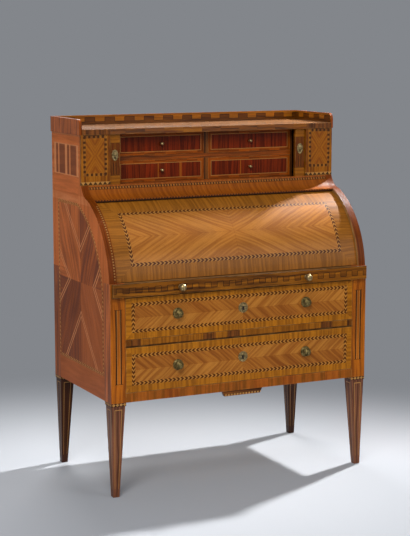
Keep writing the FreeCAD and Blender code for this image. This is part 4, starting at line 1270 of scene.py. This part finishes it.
def makeLeather():
    low, high = leather["low"], leather["high"]
    flat = (high[0] - low[0], high[1] - low[1])
    place = ((low[0] + high[0]) / 2, (low[1] + high[1]) / 2, high[2])
    skin = addMesh("writing_leather", bpy.ops.mesh.primitive_plane_add, (*flat, 1), size=1, location=place)
    bpy.ops.object.mode_set(mode="EDIT")
    bpy.ops.mesh.select_mode(type="FACE")
    bpy.ops.mesh.select_all(action="SELECT")
    inner = 0.0
    for line in leather["lines"]:
        bpy.ops.mesh.inset(thickness=line - leather["line"] / 2 - inner)
        extrude(0, 0, -leather["press"])
        bpy.ops.mesh.inset(thickness=leather["line"])
        extrude(0, 0, leather["press"])
        inner = line + leather["line"] / 2
    bpy.ops.mesh.select_all(action="SELECT")
    bpy.ops.mesh.normals_make_consistent(inside=False)
    bpy.ops.object.mode_set(mode="OBJECT")
    thickness = skin.modifiers.new("thickness", "SOLIDIFY")
    thickness.thickness = high[2] - low[2] - leather["press"]
    thickness.offset = -1
    bpy.ops.object.modifier_apply(modifier="thickness")
    fit(skin, "writing_slide", "slide_leather", "leather", leatherMaterial())


makeLeather()
print("writing leather laid")

# Camera at the photograph's angle
viewpoint = {"place": (-2.43615, -4.90143, 1.55744), "turn": 26.166, "down": 8.936, "focusPixels": 1532.3,
             "frameHeight": 536, "risePixels": 8.68, "sensor": 36}


def addCamera():
    data = bpy.data.cameras.new("photoView")
    data.sensor_width = viewpoint["sensor"]
    data.lens = viewpoint["focusPixels"] / viewpoint["frameHeight"] * data.sensor_width
    data.shift_y = viewpoint["risePixels"] / viewpoint["frameHeight"]
    camera = bpy.data.objects.new("photoView", data)
    camera.location = viewpoint["place"]
    camera.rotation_euler = (math.radians(90 - viewpoint["down"]), 0, math.radians(-viewpoint["turn"]))
    bpy.context.scene.collection.objects.link(camera)
    bpy.context.scene.camera = camera


# Pale floor that fades into the plain grey of the room on all sides
studio = {"radius": 60.0, "middle": (-0.75, -1.05), "fadeStart": 1.5, "fadeEnd": 2.9, "roughness": 0.8,
          "floor": tint(170, 173, 178), "room": tint(131, 134, 139)}


def addStudio():
    floor = addMesh("studioFloor", bpy.ops.mesh.primitive_circle_add, vertices=128, radius=studio["radius"],
                    fill_type="NGON")
    material, shader, place = startMaterial("studioPaper")
    tree = material.node_tree
    setInputs(shader, {"Base Color": studio["floor"], "Roughness": studio["roughness"]})
    glow = tree.nodes.new("ShaderNodeEmission")
    feed(glow.inputs["Color"], studio["room"])
    x, y = parts(place)[:2]
    away = distance(x - studio["middle"][0], y - studio["middle"][1])
    fade = ramp(away, studio["fadeStart"], studio["fadeEnd"])
    blend = addNode("MixShader", {0: fade, 1: Value(shader.outputs[0]), 2: Value(glow.outputs[0])})
    feed(tree.nodes["Material Output"].inputs["Surface"], Value(blend.outputs[0]))
    coat(floor, material)


# Studio light: a small hard lamp high on the right, a softer one behind and two broad fills in front
lamps = {
    "rightLamp": {"place": (3.05, 1.0, 3.4), "aim": (0.2, -0.1, 0.7),
                  "size": 0.22, "power": 27, "spread": 45},
    "rearLamp": {"place": (0.4, 2.4, 3.0), "aim": (-0.2, 0.4, 0.0),
                 "size": 1.2, "power": 62, "spread": 180},
    "frontFill": {"place": (-2.6, -3.6, 4.6), "aim": (0.0, 0.0, 0.6),
                  "size": 2.6, "power": 220, "spread": 180},
    "rightFill": {"place": (2.6, -4.6, 2.6), "aim": (0.0, 0.0, 0.7),
                  "size": 2.4, "power": 50, "spread": 180},
}


def addLamps():
    for name, look in lamps.items():
        data = bpy.data.lights.new(name, "AREA")
        data.energy = look["power"]
        data.size = look["size"]
        data.spread = math.radians(look["spread"])
        lamp = bpy.data.objects.new(name, data)
        lamp.location = look["place"]
        aim = [goal - start for goal, start in zip(look["aim"], look["place"])]
        flat = math.hypot(aim[0], aim[1])
        lamp.rotation_euler = (math.atan2(flat, -aim[2]), 0, math.atan2(-aim[0], aim[1]))
        bpy.context.scene.collection.objects.link(lamp)
    world = bpy.data.worlds.new("room")
    world.use_nodes = True
    setInputs(world.node_tree.nodes["Background"], {"Color": studio["room"], "Strength": 1.0})
    bpy.context.scene.world = world
    bpy.context.scene.view_settings.view_transform = "Standard"


addCamera()
addStudio()
addLamps()
print("camera, floor and lamps set")
